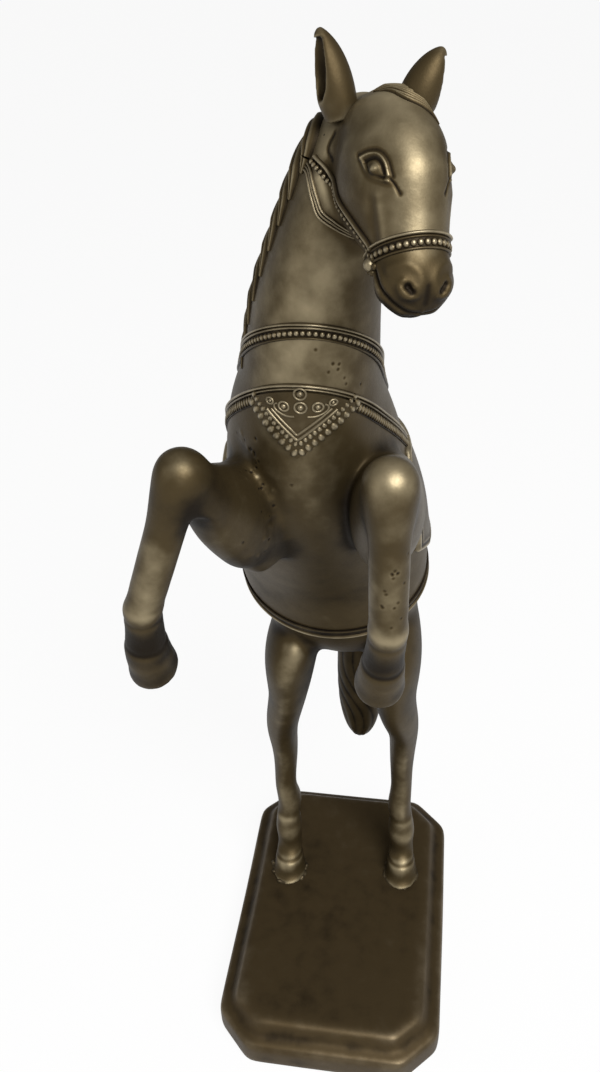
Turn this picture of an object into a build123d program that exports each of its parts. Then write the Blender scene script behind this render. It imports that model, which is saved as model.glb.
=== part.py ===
# Rearing horse of cast brass on a stepped plinth, in millimetres
# +Z is up, the horse faces -Y, its left side is +X, the origin is the centre of the plinth's underside

import os
from math import cos, radians, sin

from build123d import *

# Plinth
plinth_width = 150.0
plinth_length = 218.0
slab_height = 22.0
corner_cut = 24.0
corner_round = 13.0
panel_corner = 11.0
hollow_corner = 10.0
panel_height = 10.0
panel_inset = 8.0
panel_slope = 24.0
plinth_wall = 6.0
plinth_top = slab_height + panel_height

# Trunk skin from rump to poll: centre x, y, z, half width, half depth
trunk_rows = (
    (0, 82, 235, 8, 6),
    (0, 76, 248, 29, 23),
    (-2, 63, 270, 44, 39),
    (-6.5, 51.5, 298, 54, 46.5),
    (-9.5, 42, 328, 56.5, 47),
    (-11, 27, 364, 54.5, 51),
    (-13, 8, 405, 46.5, 54),
    (-13.5, -7, 440, 39, 49),
    (-10.5, -15, 468, 32, 42),
    (-6.5, -19, 500, 28, 36),
    (1, -21, 530, 23.5, 32),
    (10, -27, 555, 21.5, 26),
    (16, -36, 573, 16.5, 18),
    (19, -41, 583, 8, 8),
)
barrel_row = trunk_rows[5]
neck_row = trunk_rows[8]
barrel_middle = Vector(*barrel_row[:3])
neck_joint = Vector(*neck_row[:3])
barrel_lean = 23.0
trunk_sections = 22
head_sections = 14
leg_sections = 12
shin_sections = 7
foot_sections = 9
fold_sections = 8
tail_sections = 9

# Head: place of the brow, how far it turns to its left, bows and rolls about the nose
head_at = Vector(25.6, -49.3, 583.7)
head_turn = 19.3
head_bow = 54.1
head_roll = 10.6
# Sections along the nose: distance from the brow, rise towards the face, half width, half depth
head_rows = (
    (-10, -9, 7, 7),
    (-4, -7, 12.5, 14),
    (6, -6, 16.5, 21),
    (18, -6, 19, 25.5),
    (28, -6, 19.2, 26.5),
    (38, -4.5, 17, 22),
    (46, -2, 14.8, 16.5),
    (54, -0.8, 13.6, 13.5),
    (62, -0.8, 14.2, 12.5),
    (69, -1.2, 12.8, 10.5),
    (74, -1.6, 7, 6),
)
# Eyes and nostrils: along the nose, rise towards the face, off to the side
eye_at = (25.5, 9.1, 11.6)
eye_ball = 5.2
nostril_at = (66.5, 5.2, 6.0)
nostril_swell = 5.0
nostril_hole_at = (68.0, 9.4, 8.2)
nostril_hole = 2.0
# Forelock: off to the side, along the nose, rise, half length and half thickness
forelock_rows = (
    (-9, -7, -4, 3, 2.5),
    (-4, -5, 1.5, 5, 3.6),
    (1, -1.5, 6.5, 6, 3.4),
    (5, 3, 10, 4.5, 2.8),
    (9, 7, 10.4, 2.5, 2),
)

# Ears: base, tip, and half widths at the base, the belly and near the tip
ear_right_base, ear_right_tip = Vector(7.4, -44, 580), Vector(-1.1, -42, 609.5)
ear_left_base, ear_left_tip = Vector(31.8, -50, 581), Vector(43.2, -47, 603.5)
ear_halves = (5.6, 7.0, 4.6, 0.7)
ear_stops = (0.0, 0.4, 0.8, 1.0)
ear_flatness = 1.0
ear_wall = 1.6
ear_hollow_from = 0.22
ear_hollow_share = 0.85
ear_hollow_off = 0.55

# Forelegs: shoulder, knee, fetlock, crown of the hoof and sole
fore_right = ((-36, -20, 386), (-56, -90, 449.5), (-81.5, -92, 376), (-84.5, -86, 348), (-84.5, -80, 328.5))
fore_left = ((26.5, -20, 394), (32, -95, 453), (32.8, -94, 375), (30.1, -86, 346), (28.5, -80, 329))
# Upper arm: share of the way from shoulder to knee, drop, half width, half depth
arm_rows = ((0, 2, 17.5, 35), (0.4, 6, 17, 29), (0.75, 5, 13.5, 19.5), (1.0, 0, 10.5, 12))
# Lower leg: share of the way from knee to fetlock, half width, half depth
shin_rows = ((0.02, 10.4, 11), (0.14, 10, 11), (0.4, 8.8, 9.5), (0.85, 8.6, 9), (1.0, 9.2, 10))
knee_ball = 11.4
fetlock_ball = 9.7
pastern_half = 9.0
crown_half = 10.5
sole_half = 12.0

# Hind legs: height, shift to the rear, lean to the right, half width, half depth
hind_toe_right = (-42.0, 24.0)
hind_toe_left = (42.0, 30.0)
hind_rows = (
    (plinth_top - 4, -1, 0, 12.2, 14),
    (plinth_top, 0, 0, 11.8, 13.5),
    (44, 4, 0.5, 9.8, 11.2),
    (54, 12, 1, 8.4, 9.4),
    (64, 14, 1.5, 9.4, 10.8),
    (78, 18, 2.2, 7.8, 8.8),
    (110, 22, 3.5, 7.4, 9.5),
    (140, 24, 3.5, 8.6, 13.5),
    (165, 20, 3.5, 9.8, 16),
)
cannon_row = 5
sole_row = 1
# Thigh: height, lean to the right, centre off the middle, y, half width, half depth
thigh_rows = (
    (205, 3, 36, 38, 12.5, 24),
    (250, 2, 32.5, 40, 17, 34),
    (284, 0, 26, 52, 15, 26),
    (312, 0, 22, 54, 10, 20),
)

# Tail: centre x, y, z, half width, half depth
tail_rows = (
    (1, 90, 315, 9, 9),
    (2, 103, 285, 12, 13),
    (3, 100, 230, 15, 15),
    (4, 95, 170, 16, 14),
    (5, 92, 130, 13, 11),
    (5, 91, 116, 5, 5),
)

# Harness: how far each band stands proud of the skin, its width and its slope
band_proud = 2.0
bridle_proud = 1.5
cloth_proud = 2.4
pendant_proud = 3.2
saddle_proud = 12.0
mane_proud = 3.0
mane_middle = Vector(-4, -20, 520)
mane_side = (-0.75, 0.66, 0)
mane_wide = 22.0
mane_long = 88.0
mane_rise = 12.0
mane_edge = -1.0
lock_top = 50.0
lock_count = 8
lock_pitch = 11.0
lock_radius = 6.2
collar_front = Vector(-6, -55, 503)
collar_width = 7.0
collar_slope = 35.0
breast_front = Vector(-8, -58, 475)
breast_width = 8.0
breast_slope = 40.0
breast_end = 22.0
pendant_half = 22.0
pendant_drop = 30.0
pendant_lobes = 7
lobe_radius = 2.6
girth_front = Vector(0, 6, 285)
girth_width = 8.0
girth_slope = -28.0
girth_clearance = 0.2
noseband_at = 52.2
noseband_width = 6.5
strap_width = 4.0
strap_top = (6.0, -30.5)
strap_end = (51.5, -2.8)
bit_knob_radius = 3.4
bit_knob_root = 8.0
bit_knob_length = 7.6
bit_knob_at = (54.5, -4.0)
throat_at = Vector(4, -34, 562)
throat_width = 4.5
throat_slope = -38.0
braze_width = 2.8
braze_height = 2.6

# Cloth and saddle outlines on the barrel: along the spine, towards the back
cloth_outline = ((46, 4), (40, -14), (-16, -20), (-30, -6), (-36, 75), (26, 75))
saddle_outline = ((28, 20), (24, 8), (-16, 8), (-24, 20), (-26, 75), (24, 75))
saddle_half = 36.0
saddle_draw = 4.5
seat_middle = 4.0
seat_dip = 6.0
seat_radius = 45.0

turn = radians(head_turn)
bow = radians(head_bow)
facing = Vector(sin(turn), -cos(turn), 0)
nose = facing * cos(bow) + Vector(0, 0, -sin(bow))
brow = facing * sin(bow) + Vector(0, 0, cos(bow))
roll = radians(head_roll)
face = brow * cos(roll) + brow.cross(nose) * sin(roll)
cheek = face.cross(nose)
far = 160.0


def evened(rows, stops, count):
    # Rows at even stops along the run, eased between the given ones without overshoot
    gaps = [b - a for a, b in zip(stops, stops[1:])]
    columns = []
    for values in zip(*rows):
        rises = [(b - a) / gap for a, b, gap in zip(values, values[1:], gaps)]
        slopes = [rises[0]]
        for before, after in zip(rises, rises[1:]):
            same_way = before * after > 0
            slopes.append(2 * before * after / (before + after) if same_way else 0.0)
        slopes.append(rises[-1])
        column = []
        for k in range(count):
            stop = stops[0] + (stops[-1] - stops[0]) * k / (count - 1)
            i = max(j for j in range(len(gaps)) if j == 0 or stops[j] <= stop)
            t = (stop - stops[i]) / gaps[i]
            start = (1 + 2 * t) * (1 - t) ** 2 * values[i] + t * (1 - t) ** 2 * gaps[i] * slopes[i]
            end = t * t * (3 - 2 * t) * values[i + 1] + t * t * (t - 1) * gaps[i] * slopes[i + 1]
            column.append(start + end)
        columns.append(column)
    return list(zip(*columns))


def along_centres(rows, count):
    # The same, with the stops measured along the line through the centres
    stops = [0.0]
    for a, b in zip(rows, rows[1:]):
        stops.append(stops[-1] + (Vector(*b[:3]) - Vector(*a[:3])).length)
    return evened(rows, stops, count)


def spine(rows):
    # One section plane per row, square to the line through the centres
    points = [Vector(*row[:3]) for row in rows]
    planes = []
    for i, point in enumerate(points):
        ahead = points[min(i + 1, len(points) - 1)]
        behind = points[max(i - 1, 0)]
        along = (ahead - behind).normalized()
        across = Vector(1, 0, 0) - along * along.X
        planes.append(Plane(origin=point, x_dir=across, z_dir=along))
    return planes


def head_point(along, rise, side=0.0):
    return head_at + nose * along + face * rise + cheek * side


def between(start, end, share):
    return start + (end - start) * share


def shin_sections_of(joints):
    # Centres and halves from the knee to the fetlock
    knee, fetlock = Vector(*joints[1]), Vector(*joints[2])
    rows = [(*between(knee, fetlock, share), wide, deep) for share, wide, deep in shin_rows]
    return along_centres(rows, shin_sections)


def foot_sections_of(joints):
    # Centres and halves from the fetlock to the sole, which is folded back
    fetlock, crown, sole = [Vector(*p) for p in joints[2:]]
    rows = [(*fetlock, *shin_rows[-1][1:])]
    rows.append((*between(fetlock, crown, 0.5), pastern_half, pastern_half + 0.5))
    rows.append((*crown, crown_half, crown_half + 1))
    rows.append((*sole, sole_half, sole_half + 1))
    return along_centres(rows, fold_sections)


def arm_sections(joints):
    shoulder, knee = Vector(*joints[0]), Vector(*joints[1])
    rows = []
    for share, drop, wide, deep in arm_rows:
        rows.append((*(between(shoulder, knee, share) - Vector(0, 0, drop)), wide, deep))
    return rows


def hind_row_centres(toe):
    return [(toe[0] - lean, toe[1] + back, z, wide, deep) for z, back, lean, wide, deep in hind_rows]


def hind_foot(toe):
    return along_centres(hind_row_centres(toe)[: cannon_row + 1], foot_sections)


def hind_shank(toe, side):
    rows = hind_row_centres(toe)[cannon_row:]
    for height, lean, off, y, wide, deep in thigh_rows:
        rows.append((side * off - lean, y, height, wide, deep))
    return along_centres(rows, leg_sections)


def octagon(inset):
    # Corner points of the cut rectangle, inset evenly on all sides
    half_w = plinth_width / 2 - inset
    half_l = plinth_length / 2 - inset
    cut = corner_cut - 0.586 * inset
    quarter = ((half_w, half_l - cut), (half_w - cut, half_l))
    right = [(half_w, cut - half_l), quarter[0], quarter[1]]
    left = [(cut - half_w, half_l), (-half_w, half_l - cut), (-half_w, cut - half_l)]
    return right + left + [(cut - half_w, -half_l), (half_w - cut, -half_l)]


def tilted(point, slope):
    # Plane through the point whose rear side sinks by the slope
    tilt = radians(slope)
    return Plane(origin=point, x_dir=(1, 0, 0), z_dir=(0, sin(tilt), cos(tilt)))


# Plinth, a hollow casting with a raised panel
with BuildPart() as plinth:
    with BuildSketch():
        with BuildLine():
            Polyline(*octagon(0), close=True)
        make_face()
    extrude(amount=slab_height)
    fillet(plinth.edges().filter_by(Axis.Z), corner_round)
    with BuildSketch(Plane.XY.offset(slab_height)):
        with BuildLine():
            Polyline(*octagon(panel_inset), close=True)
        make_face()
        fillet(vertices(), panel_corner)
    extrude(amount=panel_height, taper=panel_slope)
    with BuildSketch():
        with BuildLine():
            Polyline(*octagon(plinth_wall), close=True)
        make_face()
        fillet(vertices(), hollow_corner)
    extrude(amount=slab_height - plinth_wall, mode=Mode.SUBTRACT)

trunk_skin = along_centres(trunk_rows, trunk_sections)
trunk_planes = spine(trunk_skin)
neck_from = [i for i, row in enumerate(trunk_skin) if row[2] > neck_joint.Z - 20][0]
head_skin = evened(head_rows, [row[0] for row in head_rows], head_sections)

# Trunk skin and its grown copies, which the body, neck and bands are cut from
with BuildPart() as trunk:
    for plane, row in zip(trunk_planes, trunk_skin):
        with BuildSketch(plane):
            Ellipse(row[3], row[4])
    loft()

with BuildPart() as trunk_band_skin:
    for plane, row in zip(trunk_planes, trunk_skin):
        with BuildSketch(plane):
            Ellipse(row[3] + band_proud, row[4] + band_proud)
    loft()

with BuildPart() as girth_seat:
    for plane, row in zip(trunk_planes, trunk_skin):
        with BuildSketch(plane):
            Ellipse(row[3] + girth_clearance, row[4] + girth_clearance)
    loft()

with BuildPart() as trunk_cloth_skin:
    for plane, row in zip(trunk_planes, trunk_skin):
        with BuildSketch(plane):
            Ellipse(row[3] + cloth_proud, row[4] + cloth_proud)
    loft()

with BuildPart() as trunk_pendant_skin:
    for plane, row in zip(trunk_planes, trunk_skin):
        with BuildSketch(plane):
            Ellipse(row[3] + pendant_proud, row[4] + pendant_proud)
    loft()

neck_plane = Plane(origin=neck_joint, x_dir=(1, 0, 0), z_dir=(0, -0.2, 0.98))

with BuildPart() as body:
    add(trunk.part)
    split(bisect_by=neck_plane, keep=Keep.BOTTOM)

# Head skin and its grown copy for the bridle
with BuildPart() as head:
    for along, rise, wide, deep in head_skin:
        with BuildSketch(Plane(origin=head_point(along, rise), x_dir=cheek, z_dir=nose)):
            Ellipse(wide, deep)
    loft()
    for side in (-1, 1):
        with Locations(head_point(*eye_at[:2], side * eye_at[2])):
            Sphere(eye_ball)
        with Locations(head_point(*nostril_at[:2], side * nostril_at[2])):
            Sphere(nostril_swell)
    for side in (-1, 1):
        with Locations(head_point(*nostril_hole_at[:2], side * nostril_hole_at[2])):
            Sphere(nostril_hole, mode=Mode.SUBTRACT)

with BuildPart() as bridle_skin:
    for along, rise, wide, deep in head_skin:
        with BuildSketch(Plane(origin=head_point(along, rise), x_dir=cheek, z_dir=nose)):
            Ellipse(wide + bridle_proud, deep + bridle_proud)
    loft()

with BuildPart() as neck:
    add(trunk.part)
    split(bisect_by=neck_plane, keep=Keep.TOP)
    add(head.part, mode=Mode.SUBTRACT)

# Ears, leaf-shaped shells that open outwards
ear_lean_right = (ear_right_tip - ear_right_base).normalized()
ear_lean_left = (ear_left_tip - ear_left_base).normalized()

with BuildPart() as ear_right:
    for share, half in zip(ear_stops, ear_halves):
        at = between(ear_right_base, ear_right_tip, share)
        with BuildSketch(Plane(origin=at, x_dir=cheek, z_dir=ear_lean_right)):
            Ellipse(half * ear_flatness, half)
    loft()
    for share, half in zip(ear_stops[:3], ear_halves):
        up_ear = ear_hollow_from + share * ear_hollow_share
        at = between(ear_right_base, ear_right_tip, up_ear) - cheek * (half * ear_hollow_off)
        with BuildSketch(Plane(origin=at, x_dir=cheek, z_dir=ear_lean_right)):
            Ellipse(half - ear_wall, half - ear_wall)
    loft(mode=Mode.SUBTRACT)
    add(head.part, mode=Mode.SUBTRACT)
    add(neck.part, mode=Mode.SUBTRACT)

with BuildPart() as ear_left:
    for share, half in zip(ear_stops, ear_halves):
        at = between(ear_left_base, ear_left_tip, share)
        with BuildSketch(Plane(origin=at, x_dir=cheek, z_dir=ear_lean_left)):
            Ellipse(half * ear_flatness, half)
    loft()
    for share, half in zip(ear_stops[:3], ear_halves):
        up_ear = ear_hollow_from + share * ear_hollow_share
        at = between(ear_left_base, ear_left_tip, up_ear) + cheek * (half * ear_hollow_off)
        with BuildSketch(Plane(origin=at, x_dir=cheek, z_dir=ear_lean_left)):
            Ellipse(half - ear_wall, half - ear_wall)
    loft(mode=Mode.SUBTRACT)
    add(head.part, mode=Mode.SUBTRACT)
    add(neck.part, mode=Mode.SUBTRACT)

# Forelegs, each an upper arm, a knee and a folded lower leg in one casting
with BuildPart() as foreleg_right:
    for plane, row in zip(spine(arm_sections(fore_right)), arm_sections(fore_right)):
        with BuildSketch(plane):
            Ellipse(row[3], row[4])
    loft()
    shin = shin_sections_of(fore_right)
    for plane, row in zip(spine(shin), shin):
        with BuildSketch(plane):
            Ellipse(row[3], row[4])
    loft()
    foot = foot_sections_of(fore_right)
    for plane, row in zip(spine(foot), foot):
        with BuildSketch(plane):
            Ellipse(row[3], row[4])
    loft()
    with Locations(fore_right[2]):
        Sphere(fetlock_ball)
    with Locations(fore_right[1]):
        Sphere(knee_ball)
    add(trunk.part, mode=Mode.SUBTRACT)

with BuildPart() as foreleg_left:
    for plane, row in zip(spine(arm_sections(fore_left)), arm_sections(fore_left)):
        with BuildSketch(plane):
            Ellipse(row[3], row[4])
    loft()
    shin = shin_sections_of(fore_left)
    for plane, row in zip(spine(shin), shin):
        with BuildSketch(plane):
            Ellipse(row[3], row[4])
    loft()
    foot = foot_sections_of(fore_left)
    for plane, row in zip(spine(foot), foot):
        with BuildSketch(plane):
            Ellipse(row[3], row[4])
    loft()
    with Locations(fore_left[2]):
        Sphere(fetlock_ball)
    with Locations(fore_left[1]):
        Sphere(knee_ball)
    add(trunk.part, mode=Mode.SUBTRACT)

# Hind legs, level sections from the sole up into the thigh
with BuildPart() as hind_leg_right:
    for x, y, z, wide, deep in hind_foot(hind_toe_right):
        with BuildSketch(Plane(origin=(x, y, z))):
            Ellipse(wide, deep)
    loft()
    for x, y, z, wide, deep in hind_shank(hind_toe_right, -1):
        with BuildSketch(Plane(origin=(x, y, z))):
            Ellipse(wide, deep)
    loft()
    split(bisect_by=Plane.XY.offset(plinth_top), keep=Keep.TOP)
    add(trunk.part, mode=Mode.SUBTRACT)

with BuildPart() as hind_leg_left:
    for x, y, z, wide, deep in hind_foot(hind_toe_left):
        with BuildSketch(Plane(origin=(x, y, z))):
            Ellipse(wide, deep)
    loft()
    for x, y, z, wide, deep in hind_shank(hind_toe_left, 1):
        with BuildSketch(Plane(origin=(x, y, z))):
            Ellipse(wide, deep)
    loft()
    split(bisect_by=Plane.XY.offset(plinth_top), keep=Keep.TOP)
    add(trunk.part, mode=Mode.SUBTRACT)

# Tail
with BuildPart() as tail:
    for x, y, z, wide, deep in along_centres(tail_rows, tail_sections):
        with BuildSketch(Plane(origin=(x, y, z), x_dir=(1, 0, 0), z_dir=(0, 0, -1))):
            Ellipse(wide, deep)
    loft()
    add(trunk.part, mode=Mode.SUBTRACT)

# Saddle cloth and saddle, cut from the grown skin by their outlines
lean = radians(barrel_lean)
outline_plane = Plane(origin=barrel_middle, x_dir=(0, -sin(lean), cos(lean)), z_dir=(-1, 0, 0))

with BuildPart() as saddle_cloth:
    add(trunk_cloth_skin.part)
    with BuildSketch(outline_plane):
        with BuildLine():
            Polyline(*cloth_outline, close=True)
        make_face()
        fillet(vertices().sort_by(Axis.Y)[:3], 4)
    extrude(amount=far, both=True, mode=Mode.INTERSECT)
    add(trunk.part, mode=Mode.SUBTRACT)

with BuildPart() as saddle:
    with BuildSketch(outline_plane):
        with BuildLine():
            Polyline(*saddle_outline, close=True)
        make_face()
    extrude(amount=saddle_half, both=True)
    with BuildSketch(Plane(origin=barrel_middle, x_dir=(1, 0, 0), z_dir=outline_plane.x_dir)):
        Ellipse(barrel_row[3] - saddle_draw, barrel_row[4] + saddle_proud)
    extrude(amount=far, both=True, mode=Mode.INTERSECT)
    with BuildSketch(outline_plane):
        with Locations((seat_middle, barrel_row[4] + saddle_proud - seat_dip + seat_radius)):
            Circle(seat_radius)
    extrude(amount=far, both=True, mode=Mode.SUBTRACT)
    add(trunk_cloth_skin.part, mode=Mode.SUBTRACT)

# Bands round the trunk: slices of the grown skin that seat on the skin itself
with BuildPart() as girth:
    add(trunk_band_skin.part)
    with BuildSketch(tilted(girth_front, girth_slope)):
        Rectangle(2 * far, 2 * far)
    extrude(amount=girth_width / 2, both=True, mode=Mode.INTERSECT)
    add(girth_seat.part, mode=Mode.SUBTRACT)
    add(saddle_cloth.part, mode=Mode.SUBTRACT)
    add(hind_leg_left.part, mode=Mode.SUBTRACT)
    add(hind_leg_right.part, mode=Mode.SUBTRACT)

with BuildPart() as collar:
    add(trunk_band_skin.part)
    with BuildSketch(tilted(collar_front, collar_slope)):
        Rectangle(2 * far, 2 * far)
    extrude(amount=collar_width / 2, both=True, mode=Mode.INTERSECT)
    add(trunk.part, mode=Mode.SUBTRACT)
    add(saddle_cloth.part, mode=Mode.SUBTRACT)

with BuildPart() as breast_band:
    add(trunk_band_skin.part)
    with BuildSketch(tilted(breast_front, breast_slope)):
        Rectangle(2 * far, 2 * far)
    extrude(amount=breast_width / 2, both=True, mode=Mode.INTERSECT)
    with BuildSketch(Plane.XZ.offset(-breast_end)):
        with Locations((0, breast_front.Z)):
            Rectangle(2 * far, 2 * far)
    extrude(amount=far, mode=Mode.INTERSECT)
    add(trunk.part, mode=Mode.SUBTRACT)
    add(foreleg_left.part, mode=Mode.SUBTRACT)
    add(foreleg_right.part, mode=Mode.SUBTRACT)
    add(saddle_cloth.part, mode=Mode.SUBTRACT)

with BuildPart() as breast_pendant:
    add(trunk_pendant_skin.part)
    with BuildSketch(Plane.XZ.offset(-breast_front.Y - 40)):
        with BuildLine():
            top = breast_front.Z + 1
            left = (breast_front.X - pendant_half, top)
            right = (breast_front.X + pendant_half, top)
            tip = (breast_front.X, top - pendant_drop)
            Polyline(left, right, tip, close=True)
        make_face()
        for corner in (left, right):
            for share in [(k + 0.5) / pendant_lobes for k in range(pendant_lobes)]:
                with Locations(between(Vector(*corner), Vector(*tip), share)):
                    Circle(lobe_radius)
    extrude(amount=far, mode=Mode.INTERSECT)
    add(trunk.part, mode=Mode.SUBTRACT)
    add(breast_band.part, mode=Mode.SUBTRACT)

# Bridle, cut from the grown head skin
with BuildPart() as noseband:
    add(bridle_skin.part)
    nose_plane = Plane(origin=head_point(noseband_at, 0), x_dir=cheek, z_dir=nose)
    with BuildSketch(nose_plane):
        Rectangle(far, far)
    extrude(amount=noseband_width / 2, both=True, mode=Mode.INTERSECT)
    add(head.part, mode=Mode.SUBTRACT)

side_plane = Plane(origin=head_at, x_dir=nose, z_dir=cheek * -1)
strap_run = Vector(strap_end[0] - strap_top[0], strap_end[1] - strap_top[1])
strap_tilt = strap_run.get_signed_angle(Vector(1, 0, 0)) * -1

with BuildPart() as throat_strap:
    for plane, row in zip(trunk_planes[neck_from:], trunk_skin[neck_from:]):
        with BuildSketch(plane):
            Ellipse(row[3] + bridle_proud, row[4] + bridle_proud)
    loft()
    with BuildSketch(tilted(throat_at, throat_slope)):
        Rectangle(far, far)
    extrude(amount=throat_width / 2, both=True, mode=Mode.INTERSECT)
    add(trunk.part, mode=Mode.SUBTRACT)
    add(head.part, mode=Mode.SUBTRACT)

with BuildPart() as cheek_strap_right:
    add(bridle_skin.part)
    with BuildSketch(side_plane):
        with Locations(between(Vector(*strap_top), Vector(*strap_end), 0.5)):
            Rectangle(strap_run.length, strap_width, rotation=strap_tilt)
    extrude(amount=far, mode=Mode.INTERSECT)
    add(head.part, mode=Mode.SUBTRACT)
    add(neck.part, mode=Mode.SUBTRACT)
    add(noseband.part, mode=Mode.SUBTRACT)
    add(throat_strap.part, mode=Mode.SUBTRACT)
    add(ear_right.part, mode=Mode.SUBTRACT)

with BuildPart() as cheek_strap_left:
    add(bridle_skin.part)
    with BuildSketch(side_plane):
        with Locations(between(Vector(*strap_top), Vector(*strap_end), 0.5)):
            Rectangle(strap_run.length, strap_width, rotation=strap_tilt)
    extrude(amount=-far, mode=Mode.INTERSECT)
    add(head.part, mode=Mode.SUBTRACT)
    add(neck.part, mode=Mode.SUBTRACT)
    add(noseband.part, mode=Mode.SUBTRACT)
    add(throat_strap.part, mode=Mode.SUBTRACT)
    add(ear_left.part, mode=Mode.SUBTRACT)

with BuildPart() as bit_knob_right:
    knob_at = head_point(*bit_knob_at, -bit_knob_root)
    with BuildSketch(Plane(origin=knob_at, x_dir=nose, z_dir=cheek * -1)):
        Circle(bit_knob_radius)
    extrude(amount=bit_knob_length)
    fillet(faces().sort_by(Axis(head_at, cheek * -1))[-1].edges(), bit_knob_radius * 0.6)
    add(head.part, mode=Mode.SUBTRACT)
    add(noseband.part, mode=Mode.SUBTRACT)
    add(cheek_strap_right.part, mode=Mode.SUBTRACT)

with BuildPart() as bit_knob_left:
    knob_at = head_point(*bit_knob_at, bit_knob_root)
    with BuildSketch(Plane(origin=knob_at, x_dir=nose, z_dir=cheek)):
        Circle(bit_knob_radius)
    extrude(amount=bit_knob_length)
    fillet(faces().sort_by(Axis(head_at, cheek))[-1].edges(), bit_knob_radius * 0.6)
    add(head.part, mode=Mode.SUBTRACT)
    add(noseband.part, mode=Mode.SUBTRACT)
    add(cheek_strap_left.part, mode=Mode.SUBTRACT)

# Forelock between the ears and mane along the crest
with BuildPart() as forelock:
    for off, along, rise, long, thick in forelock_rows:
        with BuildSketch(Plane(origin=head_point(along, rise, off), x_dir=nose, z_dir=cheek)):
            Ellipse(long, thick)
    loft()
    add(head.part, mode=Mode.SUBTRACT)
    add(neck.part, mode=Mode.SUBTRACT)
    add(ear_left.part, mode=Mode.SUBTRACT)
    add(ear_right.part, mode=Mode.SUBTRACT)

mane_plane = Plane(origin=mane_middle, x_dir=(mane_side[1], -mane_side[0], 0), z_dir=mane_side)

with BuildPart() as mane:
    for plane, row in zip(trunk_planes[neck_from:], trunk_skin[neck_from:]):
        with BuildSketch(plane):
            Ellipse(row[3] + mane_proud, row[4] + mane_proud)
    loft()
    with BuildSketch(mane_plane):
        with Locations((mane_edge + mane_wide / 2, mane_rise)):
            Rectangle(mane_wide, mane_long)
        with Locations(*[(mane_edge, lock_top - lock_pitch * i) for i in range(lock_count)]):
            Circle(lock_radius)
    extrude(amount=far, mode=Mode.INTERSECT)
    add(trunk.part, mode=Mode.SUBTRACT)
    add(head.part, mode=Mode.SUBTRACT)
    add(throat_strap.part, mode=Mode.SUBTRACT)
    add(collar.part, mode=Mode.SUBTRACT)
    add(ear_right.part, mode=Mode.SUBTRACT)
    add(ear_left.part, mode=Mode.SUBTRACT)

# Braze rings where the hind hooves stand on the panel
with BuildPart() as hoof_braze_right:
    with BuildSketch(Plane.XY.offset(plinth_top)):
        with Locations(hind_toe_right):
            Ellipse(*[half + braze_width for half in hind_rows[sole_row][3:]])
    extrude(amount=braze_height)
    add(hind_leg_right.part, mode=Mode.SUBTRACT)

with BuildPart() as hoof_braze_left:
    with BuildSketch(Plane.XY.offset(plinth_top)):
        with Locations(hind_toe_left):
            Ellipse(*[half + braze_width for half in hind_rows[sole_row][3:]])
    extrude(amount=braze_height)
    add(hind_leg_left.part, mode=Mode.SUBTRACT)

pieces = {
    "plinth": plinth,
    "body": body,
    "neck": neck,
    "head": head,
    "ear_left": ear_left,
    "ear_right": ear_right,
    "forelock": forelock,
    "mane": mane,
    "foreleg_left": foreleg_left,
    "foreleg_right": foreleg_right,
    "hind_leg_left": hind_leg_left,
    "hind_leg_right": hind_leg_right,
    "tail": tail,
    "saddle_cloth": saddle_cloth,
    "saddle": saddle,
    "girth": girth,
    "collar": collar,
    "breast_band": breast_band,
    "breast_pendant": breast_pendant,
    "noseband": noseband,
    "cheek_strap_left": cheek_strap_left,
    "cheek_strap_right": cheek_strap_right,
    "throat_strap": throat_strap,
    "bit_knob_left": bit_knob_left,
    "bit_knob_right": bit_knob_right,
    "hoof_braze_left": hoof_braze_left,
    "hoof_braze_right": hoof_braze_right,
}

os.makedirs("parts", exist_ok=True)
for name, piece in pieces.items():
    piece.part.label = name
    export_step(piece.part, f"parts/{name}.step")
    print(name, len(piece.part.solids()), round(piece.part.volume / 1000, 2), "cm3")
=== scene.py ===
# %% [markdown]
# # A rearing horse in cast brass
# The real object is a statue of several castings that were brazed together, filed and left to
# darken: a horse on its hind legs, in a chased harness, on a stepped plinth. The solids give the
# castings their places and sizes. Here they get one sculpted skin, ornament and patina, and the
# forelegs are slimmed and shaped a little further.

# %% Load the solids
import math
from collections import namedtuple

import bmesh
import bpy
import numpy as np
from mathutils import Matrix, Vector
from mathutils.bvhtree import BVHTree


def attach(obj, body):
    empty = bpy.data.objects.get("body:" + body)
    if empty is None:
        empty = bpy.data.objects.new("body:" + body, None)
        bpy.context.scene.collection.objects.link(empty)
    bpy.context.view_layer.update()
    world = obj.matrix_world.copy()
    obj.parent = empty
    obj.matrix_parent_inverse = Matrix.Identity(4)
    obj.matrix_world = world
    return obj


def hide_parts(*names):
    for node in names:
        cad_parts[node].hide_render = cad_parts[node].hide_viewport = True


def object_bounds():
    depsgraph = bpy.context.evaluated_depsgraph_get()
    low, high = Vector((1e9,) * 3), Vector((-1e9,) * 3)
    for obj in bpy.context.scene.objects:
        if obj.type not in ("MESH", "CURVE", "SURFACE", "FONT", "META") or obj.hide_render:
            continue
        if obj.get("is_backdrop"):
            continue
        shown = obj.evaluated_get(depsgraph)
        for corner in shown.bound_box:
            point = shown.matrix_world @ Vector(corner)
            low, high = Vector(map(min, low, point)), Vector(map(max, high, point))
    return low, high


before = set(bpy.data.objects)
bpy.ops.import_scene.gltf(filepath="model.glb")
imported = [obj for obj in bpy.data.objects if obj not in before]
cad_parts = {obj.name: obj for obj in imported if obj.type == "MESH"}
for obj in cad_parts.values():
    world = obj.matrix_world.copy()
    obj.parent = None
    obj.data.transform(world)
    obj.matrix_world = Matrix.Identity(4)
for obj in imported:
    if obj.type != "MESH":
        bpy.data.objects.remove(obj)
cad_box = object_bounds()
scene = bpy.context.scene
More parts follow.
